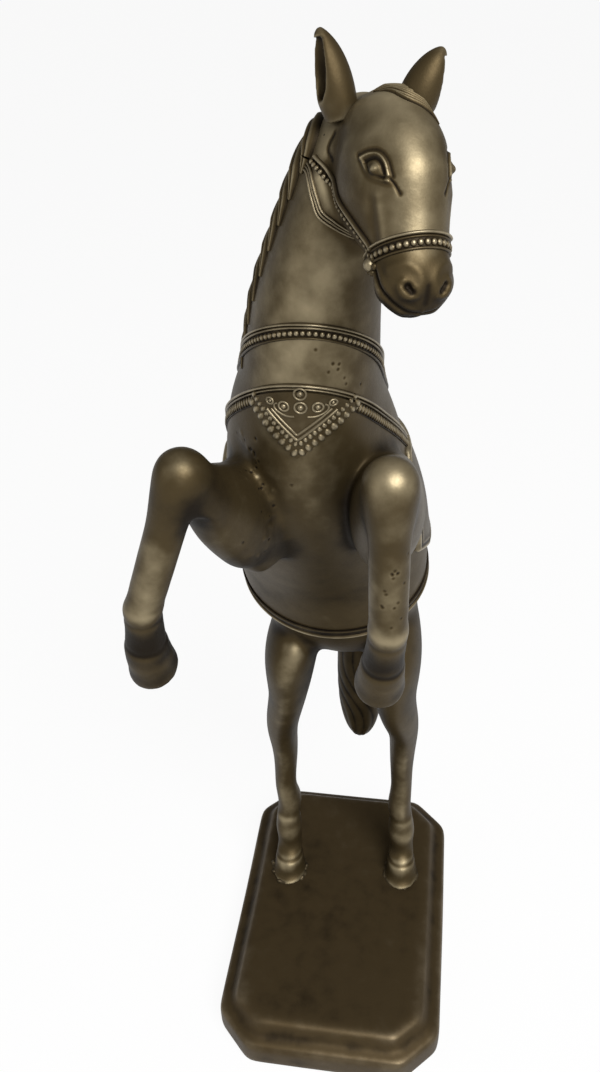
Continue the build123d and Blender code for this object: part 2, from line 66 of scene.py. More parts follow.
scene.view_settings.view_transform = "Standard"
mm = 0.001
print("solids:", len(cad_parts))

# %% [markdown]
# ## The view
# The camera stands in front of the statue and a little to its left, looks down on it from about
# head height of the horse, and is close enough for the head to look large against the plinth.

# %% Camera
sensor_width, focal_pixels, picture_pixels = 36.0, 950.0, 1072.0
camera_at = Vector((48.7, -420.3, 654.0)) * mm
camera_turn, camera_rise, camera_roll = 9.46, 34.74, -2.0
camera_data = bpy.data.cameras.new("front_camera")
camera_data.sensor_width = sensor_width
camera_data.lens = sensor_width * focal_pixels / picture_pixels
camera = bpy.data.objects.new("front_camera", camera_data)
turn = Matrix.Rotation(math.radians(camera_turn), 4, "Z")
tilt = Matrix.Rotation(math.radians(90.0 - camera_rise), 4, "X")
roll = Matrix.Rotation(math.radians(camera_roll), 4, "Z")
camera.matrix_world = Matrix.Translation(camera_at) @ turn @ tilt @ roll
scene.collection.objects.link(camera)
scene.camera = camera
print("lens", round(camera_data.lens, 2))

# %% [markdown]
# ## Floor and light
# The background is a pale floor. It is white to the camera and to reflections, and a little of
# its own shading is left in, so that the statue keeps a soft shadow. One lamp stands to the front
# right, above the camera, with a weaker one on the left, and the world is a dim room.

# %% Floor
floor_reach, floor_white = 14.0, 0.93
corners = [(-floor_reach, -floor_reach, 0), (floor_reach, -floor_reach, 0)]
corners += [(floor_reach, floor_reach, 0), (-floor_reach, floor_reach, 0)]
floor_mesh = bpy.data.meshes.new("floor")
floor_mesh.from_pydata(corners, [], [(0, 1, 2, 3)])
floor = bpy.data.objects.new("floor", floor_mesh)
scene.collection.objects.link(floor)


def add_node(tree, kind, inputs=None, **settings):
    # A node with its settings; each input is a constant or the output of another node
    made = tree.nodes.new(kind)
    for name, value in settings.items():
        setattr(made, name, value)
    for key, value in (inputs or {}).items():
        if isinstance(value, bpy.types.NodeSocket):
            tree.links.new(value, made.inputs[key])
        else:
            made.inputs[key].default_value = value
    return made


def floor_paint():
    material = bpy.data.materials.new("floor_paint")
    material.use_nodes = True
    tree = material.node_tree
    tree.nodes.clear()
    paint = add_node(tree, "ShaderNodeBsdfDiffuse", {"Color": (0.8, 0.8, 0.8, 1)}).outputs[0]
    white = add_node(tree, "ShaderNodeEmission").outputs[0]
    path = add_node(tree, "ShaderNodeLightPath").outputs
    seen = path["Is Camera Ray"]
    for ray in ("Is Glossy Ray", "Is Transmission Ray"):
        seen = add_node(tree, "ShaderNodeMath", {0: seen, 1: path[ray]}, operation="MAXIMUM").outputs[0]
    share = add_node(tree, "ShaderNodeMath", {0: seen, 1: floor_white}, operation="MULTIPLY").outputs[0]
    mix = add_node(tree, "ShaderNodeMixShader", {"Fac": share, 1: paint, 2: white})
    add_node(tree, "ShaderNodeOutputMaterial", {"Surface": mix.outputs[0]})
    return material


floor_mesh.materials.append(floor_paint())
floor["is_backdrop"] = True
print("floor", floor_reach * 2, "m wide")


# %% Lamps and room
def lamp(name, place, aim, size, power):
    data = bpy.data.lights.new(name, "AREA")
    data.shape = "DISK"
    data.size = size
    data.energy = power
    holder = bpy.data.objects.new(name, data)
    holder.location = place
    holder.rotation_euler = (Vector(aim) - Vector(place)).to_track_quat("-Z", "Y").to_euler()
    scene.collection.objects.link(holder)


lamp("key_lamp", (0.7, -1.1, 1.6), (0, 0, 0.4), 1.3, 52)
lamp("fill_lamp", (-1.3, -0.9, 0.9), (0, 0, 0.35), 1.2, 4)
room = bpy.data.worlds.new("room")
room.use_nodes = True
room.node_tree.nodes["Background"].inputs["Color"].default_value = (0.2, 0.195, 0.185, 1)
scene.world = room
print("lamps: key and fill")

# %% [markdown]
# ## Patina
# The brass has gone dark brown. Hands and cloths rub the high places bright, and dirt stays black
# in the hollows. Each mesh carries a wear value at every point, from 0 in a groove to 1 on a
# ridge, and one shader group turns it into colour, gloss and a fine cast grain: rubbed places are
# brighter, smoother and a little more metallic. On the horse's skin the same value also holds
# painted light and painted shade, so the front and the top are painted lighter and glossier, and
# the legs, hooves, knees, muzzle, tail and body darker.

# %% One finish for all the brass
def sockets(tree, way, kind, *names):
    for name in names:
        tree.interface.new_socket(name, in_out=way, socket_type="NodeSocket" + kind)


aged = bpy.data.node_groups.new("aged_brass", "ShaderNodeTree")
sockets(aged, "INPUT", "Float", "Worn", "Blotch", "Pits", "Matt")
sockets(aged, "INPUT", "Color", "Dark", "Brown", "Bright")
sockets(aged, "OUTPUT", "Color", "Color")
sockets(aged, "OUTPUT", "Float", "Roughness", "Metal", "Height")
given = add_node(aged, "NodeGroupInput").outputs
place = add_node(aged, "ShaderNodeTexCoord").outputs["Object"]


def noise(scale, detail):
    inputs = {"Scale": scale, "Detail": detail, "Vector": place}
    return add_node(aged, "ShaderNodeTexNoise", inputs).outputs["Fac"]


def maths(operation, *values):
    return add_node(aged, "ShaderNodeMath", dict(enumerate(values)), operation=operation).outputs[0]


def eased(value, low, high):
    inputs = {"Value": value, "From Min": low, "From Max": high}
    return add_node(aged, "ShaderNodeMapRange", inputs, interpolation_type="SMOOTHSTEP").outputs["Result"]


def blend(share, first, second):
    return add_node(aged, "ShaderNodeMix", {0: share, 6: first, 7: second}, data_type="RGBA").outputs[2]


broad = maths("SUBTRACT", noise(22, 3), 0.5)
middle = maths("SUBTRACT", noise(95, 4), 0.5)
grain = noise(1100, 2)
uneven = maths("MULTIPLY_ADD", middle, 0.8, broad)
# On the horse's skin the wear input also carries painted light and painted shade, and both turn into
# colour, gloss and metal here.
rubbed_and_painted_light = maths("MULTIPLY_ADD", uneven, given["Blotch"], given["Worn"])
cells = add_node(aged, "ShaderNodeTexVoronoi", {"Scale": 300, "Vector": place}).outputs
chosen = maths("LESS_THAN", cells["Color"], given["Pits"])
pit = maths("MULTIPLY", maths("LESS_THAN", cells["Distance"], 0.17), chosen)
colour = blend(eased(rubbed_and_painted_light, 0.12, 0.52), given["Dark"], given["Brown"])
colour = blend(eased(rubbed_and_painted_light, 0.5, 1.0), colour, given["Bright"])
colour = blend(maths("MULTIPLY", pit, 0.85), colour, given["Dark"])
rough = maths("MULTIPLY_ADD", maths("SUBTRACT", 0.6, rubbed_and_painted_light), 0.22, given["Matt"])
rough = maths("MULTIPLY_ADD", maths("SUBTRACT", grain, 0.5), 0.16, rough)
metal = maths("MULTIPLY_ADD", eased(rubbed_and_painted_light, 0.3, 0.95), 0.1, 0.6)
height = maths("SUBTRACT", maths("MULTIPLY_ADD", middle, 0.9, maths("MULTIPLY", grain, 0.35)), pit)
add_node(aged, "NodeGroupOutput", {"Color": colour, "Roughness": rough, "Metal": metal, "Height": height})
print("shared finish with", len(aged.nodes), "nodes")


# %% Four brasses
def brass(name, dark, brown, bright, blotch, pits, matt):
    material = bpy.data.materials.new(name)
    material.use_nodes = True
    tree = material.node_tree
    shader = tree.nodes["Principled BSDF"].inputs
    shader["Specular IOR Level"].default_value = 0.15
    # The point value read here is wear, and on the horse's skin it is also painted light and painted shade.
    worn = add_node(tree, "ShaderNodeAttribute", attribute_name="worn").outputs["Fac"]
    inputs = {"Worn": worn, "Blotch": blotch, "Pits": pits, "Matt": matt}
    inputs.update({"Dark": (*dark, 1), "Brown": (*brown, 1), "Bright": (*bright, 1)})
    finish = add_node(tree, "ShaderNodeGroup", inputs, node_tree=aged).outputs
    inputs = {"Strength": 0.35, "Distance": 0.3 * mm, "Height": finish["Height"]}
    bump = add_node(tree, "ShaderNodeBump", inputs)
    tree.links.new(finish["Color"], shader["Base Color"])
    tree.links.new(finish["Roughness"], shader["Roughness"])
    tree.links.new(finish["Metal"], shader["Metallic"])
    tree.links.new(bump.outputs["Normal"], shader["Normal"])
    return material


dark_brown, black_brown = (0.012, 0.008, 0.004), (0.008, 0.005, 0.003)
horse_brass = brass("horse_brass", dark_brown, (0.058, 0.041, 0.018), (0.35, 0.29, 0.18),
                    blotch=0.38, pits=0.05, matt=0.48)
harness_brass = brass("harness_brass", black_brown, (0.058, 0.042, 0.02), (0.31, 0.26, 0.17),
                      blotch=0.45, pits=0.03, matt=0.43)
plinth_brass = brass("plinth_brass", dark_brown, (0.062, 0.043, 0.02), (0.16, 0.125, 0.078),
                     blotch=0.5, pits=0.03, matt=0.5)
braze = brass("braze", dark_brown, (0.075, 0.057, 0.032), (0.36, 0.315, 0.235),
              blotch=0.6, pits=0.1, matt=0.42)
print("materials: horse, harness, plinth and braze")

# %% [markdown]
# ## One skin over the castings
# On the real statue the joints between the castings are filed smooth, so a leg flows into the
# chest. Copies of the solids are grown by a hair so that they overlap, joined, and wrapped in one
# even net by a voxel remesh. The upper arms of the forelegs are slimmed on the way. Each point then
# remembers which casting it lies on.

# %% Join copies of the castings
casting_names = ["body", "neck", "head", "foreleg_left", "foreleg_right"]
casting_names += ["hind_leg_left", "hind_leg_right", "tail"]
knees = ((-56, -90, 449.5), (32, -95, 453))
fetlocks = ((-81.5, -92, 376), (32.8, -94, 375))
soles = ((-84.5, -79, 329), (28.5, -79, 329))
arms = {
    "foreleg_right": ((-36, -20, 386), knees[0], fetlocks[0], soles[0]),
    "foreleg_left": ((26.5, -20, 394), knees[1], fetlocks[1], soles[1]),
}


def unit(rows):
    rows = np.asarray(rows, float)
    return rows / np.linalg.norm(rows, axis=-1, keepdims=True)


def casting_copy(name):
    build = bmesh.new()
    build.from_mesh(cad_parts[name].data)
    bmesh.ops.remove_doubles(build, verts=build.verts, dist=2e-6)
    build.normal_update()
    build.verts.index_update()
    co = np.array([v.co[:] for v in build.verts])
    normal = np.array([v.normal[:] for v in build.verts])
    faces = [[v.index for v in f.verts] for f in build.faces]
    build.free()
    return co, normal, faces


def off_line(co, start, end):
    # Offsets from the nearest points of a straight line between two points
    run = end - start
    share = np.clip((co - start) @ run / (run @ run), 0, 1)
    return co - start - share[:, None] * run


def slimmer(co, shoulder, knee, fetlock, sole):
    # Draws an upper arm in towards its middle line, above and below, and leaves shin and foot alone
    shoulder, knee, fetlock, sole = [np.array(p) * mm for p in (shoulder, knee, fetlock, sole)]
    run = knee - shoulder
    share = (co - shoulder) @ run / (run @ run)
    below = unit(run * run[2] / (run @ run) - np.array((0, 0, 1.0)))
    depth = (co - shoulder - share[:, None] * run) @ below
    behind = off_line(co, knee, fetlock) @ unit((-run[0], -run[1], 0)) / mm
    from_foot = np.linalg.norm(off_line(co, fetlock, sole), axis=1) / mm
    weight = np.clip((behind - 7) / 6, 0, 1) * np.clip((from_foot - 20) / 8, 0, 1)
    draw = np.where(depth > 0, 0.1, 0.15) * weight * np.clip((1.02 - share) / 0.15, 0, 1)
    return co - below * (depth * draw)[:, None]


def joined(names, grow):
    points, faces, owner = [], [], []
    for index, name in enumerate(names):
        co, normal, some = casting_copy(name)
        first = sum(len(p) for p in points)
        if name in arms:
            co = slimmer(co, *arms[name])
        points.append(co + normal * grow)
        faces += [[i + first for i in face] for face in some]
        owner += [index] * len(some)
    return np.vstack(points), faces, np.array(owner)


def net(name, co, faces, voxel):
    # Wraps closed shapes in one even net of quads
    mesh = bpy.data.meshes.new(name)
    mesh.from_pydata(co.tolist(), [], faces)
    holder = bpy.data.objects.new(name, mesh)
    scene.collection.objects.link(holder)
    wrap = holder.modifiers.new("wrap", "REMESH")
    wrap.mode = "VOXEL"
    wrap.voxel_size = voxel
    seen = holder.evaluated_get(bpy.context.evaluated_depsgraph_get())
    result = bpy.data.meshes.new_from_object(seen)
    bpy.data.objects.remove(holder)
    return result


skin_voxel, overlap = 1.0 * mm, 0.45 * mm
union_co, union_faces, union_owner = joined(casting_names, overlap)
union_tree = BVHTree.FromPolygons(union_co.tolist(), union_faces)
skin_mesh = net("horse_skin", union_co, union_faces, skin_voxel)
print("skin", len(skin_mesh.vertices), "points")


# %% Read a net as arrays
def read_co(mesh):
    co = np.empty(len(mesh.vertices) * 3)
    mesh.vertices.foreach_get("co", co)
    return co.reshape(-1, 3)


def read_edges(mesh):
    ends = np.empty(len(mesh.edges) * 2, dtype=np.int64)
    mesh.edges.foreach_get("vertices", ends)
    return ends.reshape(-1, 2)


def read_normals(mesh, co):
    # Puts the points into the mesh and reads the normals that they give
    mesh.vertices.foreach_set("co", np.ascontiguousarray(co).ravel())
    mesh.update()
    normal = np.empty(len(co) * 3)
    mesh.vertex_normals.foreach_get("vector", normal)
    return normal.reshape(-1, 3)


def relax(values, edges, weight, rounds):
    # Moves each value towards the mean of its neighbours
    size = len(values)
    count = np.bincount(edges.ravel(), minlength=size)[:, None]
    weight = np.broadcast_to(weight, size)[:, None]
    for _ in range(rounds):
        total = np.empty_like(values)
        for k in range(values.shape[1]):
            total[:, k] = np.bincount(edges[:, 0], values[edges[:, 1], k], size)
            total[:, k] += np.bincount(edges[:, 1], values[edges[:, 0], k], size)
        values = values + (total / count - values) * weight
    return values


def drop_bubbles(mesh):
    # Keeps the largest closed part and drops any bubble that the wrap left inside
    edges = read_edges(mesh)
    label = np.arange(len(mesh.vertices))
    while True:
        low = np.minimum(label[edges[:, 0]], label[edges[:, 1]])
        new = label.copy()
        np.minimum.at(new, edges[:, 0], low)
        np.minimum.at(new, edges[:, 1], low)
        new = new[new]
        if (new == label).all():
            break
        label = new
    loose = label != np.bincount(label).argmax()
    if loose.any():
        build = bmesh.new()
        build.from_mesh(mesh)
        build.verts.ensure_lookup_table()
        bmesh.ops.delete(build, geom=[build.verts[i] for i in np.nonzero(loose)[0]], context="VERTS")
        build.to_mesh(mesh)
        build.free()
    return int(loose.sum())


def owners(co):
    return np.array([union_owner[union_tree.find_nearest(p)[2]] for p in co])


print("bubble points dropped:", drop_bubbles(skin_mesh))
skin_co = read_co(skin_mesh)
skin_edges = read_edges(skin_mesh)
casting_of = owners(skin_co)
print("points per casting:", dict(zip(casting_names, np.bincount(casting_of).tolist())))

# %% [markdown]
# The joints are filed next: near a joint the net is relaxed for many rounds, which rounds the
# crease into a fillet, and everywhere else only enough to lose the facets of the solids. Knees,
# fetlocks, hocks and elbows get the same filing, and the soles a shorter one. Relaxing shrinks
# round forms, so knees, hocks and soles are swollen a little afterwards.

# %% File the joints
hocks = ((-42, 31, 178), (40, 32, 184))
elbows = ((-42, -42, 360), (28, -41.5, 366.5))
knee_reach, fetlock_reach, sole_reach, hock_reach, elbow_reach = 30, 17, 15, 34, 27


def near(points, reach):
    # 1 at the points, falling to 0 at the reach
    gap = [np.linalg.norm(skin_co - np.array(p) * mm, axis=1) for p in points]
    return np.clip(1.6 * (1 - np.min(gap, axis=0) / (reach * mm)), 0, 1)


across = casting_of[skin_edges[:, 0]] != casting_of[skin_edges[:, 1]]
steps = np.full(len(skin_co), 99.0)
steps[np.unique(skin_edges[across])] = 0
joint_reach = 13
for _ in range(joint_reach):
    nearer = np.minimum(steps[skin_edges[:, 0]], steps[skin_edges[:, 1]]) + 1
    np.minimum.at(steps, skin_edges[:, 0], nearer)
    np.minimum.at(steps, skin_edges[:, 1], nearer)
filed = np.clip(1 - steps / joint_reach, 0, 1)
filed_spots = ((knees, knee_reach), (fetlocks, fetlock_reach), (hocks, hock_reach), (elbows, elbow_reach))
for points, reach in filed_spots:
    filed = np.maximum(filed, near(points, reach))
skin_co = relax(skin_co, skin_edges, 0.5, 10)
skin_co = relax(skin_co, skin_edges, 0.6 * np.maximum(filed, near(soles, sole_reach)), 14)
skin_co = relax(skin_co, skin_edges, 0.6 * filed, 50)
skin_normal = read_normals(skin_mesh, skin_co)
swell = 1.2 * near(knees, knee_reach) + 1.0 * near(soles, sole_reach) + 0.8 * near(hocks, hock_reach)
skin_co = skin_co + skin_normal * (swell * mm)[:, None]
skin_normal = read_normals(skin_mesh, skin_co)
print("points near a joint:", int((filed > 0).sum()))

# %% [markdown]
# ## Finer where the chisel went
# The face needs a finer net than the flanks. The faces of the head, of the braze seam on the chest
# and of the pitted places are cut in four, and those round the eyes, nostrils and mouth once more.

# %% The head's own directions
head_at = np.array((25.6, -49.3, 583.7))
head_turn, head_bow, head_roll = [math.radians(angle) for angle in (19.3, 54.1, 10.6)]
facing = np.array((math.sin(head_turn), -math.cos(head_turn), 0))
upward = np.array((0, 0, 1.0))
nose = facing * math.cos(head_bow) - upward * math.sin(head_bow)
brow = facing * math.sin(head_bow) + upward * math.cos(head_bow)
face = brow * math.cos(head_roll) + np.cross(brow, nose) * math.sin(head_roll)
cheek = np.cross(face, nose)


def on_head(rows, side=1):
    # Rows of along the nose, rise towards the face, off to the side
    return np.array([head_at + nose * a + face * c + cheek * b * side for a, c, b in rows]) * mm


eye_middle = (26.3, 10.6, 15.4)
nostril_middle = (68.2, 8.6, 6.6)
chin = (72, 2, 0)
neck_pits = np.array(((0, -53.5, 486), (6, -50, 477), (11, -46, 470))) * mm
shin_pits = np.array(((35, -104, 422), (36, -103, 411), (36, -103, 400), (36, -102.5, 389))) * mm
seam = ((-40, -40, 440), (-31, -49, 430), (-27.2, -48, 412), (-27.5, -54, 399), (-32, -60, 386))
seam = np.array(seam) * mm


# %% Cut faces in four
def refine(mesh, wanted):
    build = bmesh.new()
    build.from_mesh(mesh)
    build.verts.ensure_lookup_table()
    edges = {e for f in build.faces if all(wanted[v.index] for v in f.verts) for e in f.edges}
    bmesh.ops.subdivide_edges(build, edges=list(edges), cuts=1, use_grid_fill=True)
    build.to_mesh(mesh)
    build.free()
    co = read_co(mesh)
    return co, read_edges(mesh)


def within(points, reach):
    gap = [np.linalg.norm(skin_co - p, axis=1) for p in points]
    return np.min(gap, axis=0) < reach * mm


seam_reach, pit_reach, detail_reach = 17, 9, 11.5
head_index = casting_names.index("head")
pitted = within(np.vstack([neck_pits, shin_pits]), pit_reach)
skin_co, skin_edges = refine(skin_mesh, (casting_of == head_index) | within(seam, seam_reach) | pitted)
skin_co = relax(skin_co, skin_edges, 0.5, 3)
skin_normal = read_normals(skin_mesh, skin_co)
details = np.vstack([on_head([eye_middle, nostril_middle, chin], side) for side in (1, -1)])
skin_co, skin_edges = refine(skin_mesh, within(details, detail_reach))
skin_co = relax(skin_co, skin_edges, 0.5, 3)
skin_normal = read_normals(skin_mesh, skin_co)
casting_of = owners(skin_co)
print("skin now", len(skin_co), "points")

# %% [markdown]
# ## The chisel
# Two tools do the carving. One raises or sinks the skin along a smooth line through a few points,
# the other round one point. Narrow cuts keep their dirt. Lines on the face are given in the head's
# own directions for one side and mirrored for the other.

# %% Carving tools
skin_dirt = np.zeros(len(skin_co))
widest_cut, full_cut = 1.7, 0.7


def spline(points, count):
    # A smooth line through a few points
    points = np.array(points, float)
    ends = np.vstack([2 * points[0] - points[1], points, 2 * points[-1] - points[-2]])
    line = []
    for share in np.linspace(0, len(points) - 1, count):
        i = min(int(share), len(points) - 2)
        t = share - i
        a, b, c, d = ends[i:i + 4]
        bend = (2 * a - 5 * b + 4 * c - d) * t ** 2 + (3 * b - a - 3 * c + d) * t ** 3
        line.append(b + 0.5 * ((c - a) * t + bend))
    return np.array(line)


def carve(points, height, width, count=60):
    # Raises the skin along a line, or sinks it where the height is below nought, in mm
    line = spline(points, count)
    line = np.array([skin_tree.find_nearest(p)[0] for p in line])
    room_for = 3 * width * mm
    close = ((skin_co > line.min(axis=0) - room_for) & (skin_co < line.max(axis=0) + room_for)).all(axis=1)
    index = np.nonzero(close)[0]
    gap = np.linalg.norm(skin_co[index][:, None] - line[None], axis=2).min(axis=1)
    share = np.exp(-(gap / (width * mm)) ** 2)
    skin_co[index] += skin_normal[index] * (height * mm * share)[:, None]
    if height < 0 and width < widest_cut:
        skin_dirt[index] = np.maximum(skin_dirt[index], share * min(1, -height / full_cut))


def dab(point, height, width):
    carve([point, point + 1e-7, point + 2e-7], height, width, 3)


def skin_faces():
    return [p.vertices[:] for p in skin_mesh.polygons]


skin_tree = BVHTree.FromPolygons(skin_co.tolist(), skin_faces())

# %% Eyes
upper_lid = ((19.3, 5.0, 17.2), (19.6, 9.3, 15.3), (21.4, 12.8, 13.2), (25.2, 14.8, 11.9))
upper_lid += ((30.5, 15.1, 11.1),)
lower_lid = ((19.6, 5.3, 17.1), (24.5, 6.6, 16.9), (28.2, 8.7, 16.0), (30.8, 11.7, 13.9))
lower_lid += ((32.7, 14.4, 11.2),)
tear_line = ((31.5, 14.6, 11.3), (34.0, 15.3, 10.2), (37.0, 15.4, 8.8))


def spread(rows, share):
    # The same line drawn larger or smaller about the middle of the eye
    return [tuple(m + (v - m) * share for m, v in zip(eye_middle, row)) for row in rows]


for side in (1, -1):
    dab(on_head([eye_middle], side)[0], -1.0, 5.0)
    carve(on_head(spread(upper_lid, 1.1), side), -0.4, 0.8)
    carve(on_head(spread(lower_lid, 1.15), side), -0.2, 1.0)
    carve(on_head(spread(upper_lid, 0.86), side), 0.8, 0.7)
    carve(on_head(spread(lower_lid, 0.86), side), 0.55, 0.6)
    carve(on_head(spread(upper_lid, 0.58), side), -0.9, 0.8)
    carve(on_head(spread(lower_lid, 0.58), side), -0.8, 0.7)
    dab(on_head([eye_middle], side)[0], 1.9, 1.5)
    carve(on_head(tear_line, side), -0.5, 0.6)
print("eyes carved")

# %% Nostrils and mouth
nostril_rim = ((64.8, 8.6, 8.6), (65.8, 7.8, 10.0), (68.4, 7.4, 9.6), (70.6, 7.2, 7.2), (70.7, 7.6, 4.3))
nostril_wing = ((59.7, 5.6, 12.1), (59.5, 10, 7.8), (62.3, 11.2, 4.0), (66.0, 10.4, 2.6), (68.8, 8.8, 3.4))
nostril_hole = ((67.1, 8.9, 7.4), nostril_middle, (69.0, 8.4, 5.8))
mouth_line = ((57.5, -1.4, 13.8), (62.5, 0.4, 13.6), (68.0, 1.4, 11.4), (72.2, 1.2, 7.2), (74.4, 0.8, 0.5))
chin_line = ((64, -7.5, 11.5), (69.5, -5.6, 8.5), (72.6, -4.6, 3.0), (73, -4.5, 0))


def shifted(rows, along, rise):
    return [(a + along, c + rise, b) for a, c, b in rows]


for side in (1, -1):
    carve(on_head(nostril_wing, side), 0.5, 2.0)
    carve(on_head(nostril_rim, side), 0.3, 1.1)
    carve(on_head(nostril_hole, side), -1.5, 1.15)
    carve(on_head(shifted(mouth_line, -0.6, 2.0), side), 0.4, 1.3)
    carve(on_head(shifted(mouth_line, 0.3, -2.2), side), 0.5, 1.4)
    carve(on_head(mouth_line, side), -1.0, 0.7)
    carve(on_head(chin_line, side), -0.5, 1.4)
carve(on_head(((67.5, 9.6, 0), (69.8, 8.6, 0), (72.2, 5.6, 0))), -0.2, 1.2)
print("nostrils and mouth carved")

# %% Cheek, temple and jaw
temple_ring = ((1.6, -15.2, 16.2), (5.6, -19.6, 18.0), (10.7, -18.4, 17.3))
jaw_line = ((12, -30, 13), (24, -29, 14.5), (34, -24.5, 14), (42, -17.5, 13), (50, -11, 12))
cheek_bone = ((35.5, 9.5, 14.5), (42, 7.2, 13.2), (49, 5.5, 12.4))
for side in (1, -1):
    carve(on_head(jaw_line, side), 0.8, 3.5)
    carve(on_head(shifted(jaw_line, -1.5, 6.5), side), -0.7, 3.0)
    carve(on_head(cheek_bone, side), 0.4, 2.2)
    carve(on_head(shifted(cheek_bone, 0.5, -4.0), side), -0.4, 2.4)
carve(on_head(temple_ring, -1), -0.5, 0.7)
print("cheeks carved")

# %% [markdown]
# The right upper arm is slimmer on the statue than in its solid. It is pared on top, the crook
# behind the knee is pushed up along the shin, and the rear end is pushed up and back and relaxed.

# %% The right upper arm
arm_top = np.array(((-53, -70, 447), (-51, -60, 443), (-46, -42, 434))) * mm
arm_crook, arm_rear, arm_end, arm_end_reach = (-54, -88, 419), (-28, -49, 373), (-23, -42, 375), 27


def push(point, direction, distance, width):
    # Slides the skin near a point in one direction
    gap = np.linalg.norm(skin_co - np.array(point) * mm, axis=1) / (width * mm)
    skin_co[:] += unit(direction) * (distance * mm * np.exp(-gap ** 2))[:, None]


carve(arm_top, -2.5, 9.0)
push(arm_crook, np.array(knees[0]) - np.array(fetlocks[0]), 8.0, 11.0)
push(arm_rear, (-0.2, 0.5, 0.85), 4.0, 13.0)
skin_co = relax(skin_co, skin_edges, 0.6 * near([arm_end], arm_end_reach), 70)
skin_co = relax(skin_co, skin_edges, 0.5, 2)
skin_normal = read_normals(skin_mesh, skin_co)
print("right upper arm shaped")

# %% Pasterns and hooves
hoof_crowns = ((-84.5, -86, 348), (30.1, -86, 346))
hind_toes = ((-42, 24), (42, 30))
hoof_line, hoof_back, ring_reach = 46, 4, 26


def ring(name, point, axis, height, width):
    # A ridge or groove round one casting, where a plane crosses it
    axis = np.array(axis, float) / np.linalg.norm(axis)
    offset = skin_co - np.array(point) * mm
    here = (casting_of == casting_names.index(name)) & (np.linalg.norm(offset, axis=1) < ring_reach * mm)
    lift = height * mm * np.exp(-(offset @ axis / (width * mm)) ** 2) * here
    skin_co[:] += skin_normal * lift[:, None]


for name, fetlock, crown in zip(("foreleg_right", "foreleg_left"), fetlocks, hoof_crowns):
    down = np.array(crown) - np.array(fetlock)
    for share, height, width in ((-0.1, 0.2, 2.4), (0.1, -0.3, 1.8), (0.78, -0.3, 1.4), (0.9, 0.2, 2.6)):
        ring(name, np.array(fetlock) + down * share, down, height, width)
for name, toe in zip(("hind_leg_right", "hind_leg_left"), hind_toes):
    ring(name, (toe[0], toe[1] + hoof_back, hoof_line), (0, 0, 1), -0.4, 1.2)
print("rings on the legs")

# %% Strands of the tail
tail_line = np.array(((1, 90, 315), (2, 103, 285), (3, 100, 230), (4, 95, 170), (5, 92, 130), (5, 91, 116)))
strand_count, strand_depth, strand_twist = 11, 0.5, 0.02
on_tail = casting_of == casting_names.index("tail")
drop = skin_co[on_tail, 2] / mm
middle_x = np.interp(-drop, -tail_line[:, 2], tail_line[:, 0])
middle_y = np.interp(-drop, -tail_line[:, 2], tail_line[:, 1])
angle = np.arctan2(skin_co[on_tail, 1] / mm - middle_y, skin_co[on_tail, 0] / mm - middle_x)
swing = strand_twist * drop + 0.35 * np.sin(drop / 13)
wave = -np.abs(np.sin(0.5 * strand_count * (angle + swing))) ** 0.6
skin_co[on_tail] -= skin_normal[on_tail] * ((wave + 0.75) * strand_depth * mm)[:, None]
print("tail strands:", strand_count)

# %% [markdown]
# The braze seam where the right foreleg meets the chest was hardly cleaned: it is a chain of small
# lumps with gas pits among them. A few more pits lie on the neck and the left shin.

# %% Braze seam and gas pits
chance = np.random.default_rng(7)


def scatter(line, count, reach, low, high, small, large):
    # Lumps or pits at random places near a line, with the depth and width given as ranges
    for point in spline(line, count):
        place = point + chance.normal(0, reach * mm, 3)
        place = np.array(skin_tree.find_nearest(place)[0])
        dab(place, chance.uniform(low, high), chance.uniform(small, large))


scatter(seam, 26, 3.5, 0.15, 0.35, 1.2, 2.2)
scatter(seam[:2], 14, 5.0, -0.6, -0.3, 0.5, 0.8)
scatter(seam, 18, 6.0, -0.5, -0.25, 0.45, 0.7)
scatter(neck_pits, 10, 4.0, -0.4, -0.2, 0.5, 0.6)
scatter(shin_pits, 16, 3.5, -0.4, -0.2, 0.5, 0.6)
skin_co = relax(skin_co, skin_edges, 0.25, 1)
skin_normal = read_normals(skin_mesh, skin_co)
skin_tree = BVHTree.FromPolygons(skin_co.tolist(), skin_faces())
print("lumps and pits scattered")


# %% [markdown]
# ## Where it is rubbed, and painted light and shade
# A point that stands out from the smoothed skin is on a ridge and gets rubbed, and one that lies
# below it is in a groove and keeps its dirt. This is measured once over a few millimetres for the
# carving and once over a few centimetres for the forms. On top of this, light and shade are painted
# in: points that face the front and the top are painted lighter than the undersides, as if lit
# from above in front, and the legs, hooves, knees, muzzle, tail and body are painted darker.

# %% Worn value of a net
def worn_of(co, edges, normal, rounds, span):
    smooth = relax(co, edges, 0.6, rounds)
    return np.clip(((co - smooth) * normal).sum(axis=1) / (span * mm), -1, 1)


carving_wear = worn_of(skin_co, skin_edges, skin_normal, 10, 0.3)
form_wear = worn_of(skin_co, skin_edges, skin_normal, 150, 1.6)
# Painted light: points that face up and to the front are painted lighter and the undersides darker, as if
# lit from above in front.
painted_light_by_facing = skin_normal @ unit((0.15, -0.6, 0.78))
muzzle = on_head([(66, -2, 0)]) / mm
pasterns = ((-83, -88, 358), (31, -89, 358))
# Painted shade: each leg, the tail and the body are painted darker by their own amounts, blended across the
# joints.
painted_shade_per_casting = {"foreleg_left": 0.06, "foreleg_right": 0.2, "hind_leg_left": 0.27, "hind_leg_right": 0.27}
painted_shade_per_casting.update({"tail": 0.4, "body": 0.08})
painted_shade = np.array([painted_shade_per_casting.get(name, 0.0) for name in casting_names])[casting_of]
painted_shade = relax(painted_shade[:, None], skin_edges, 0.6, 40)[:, 0]
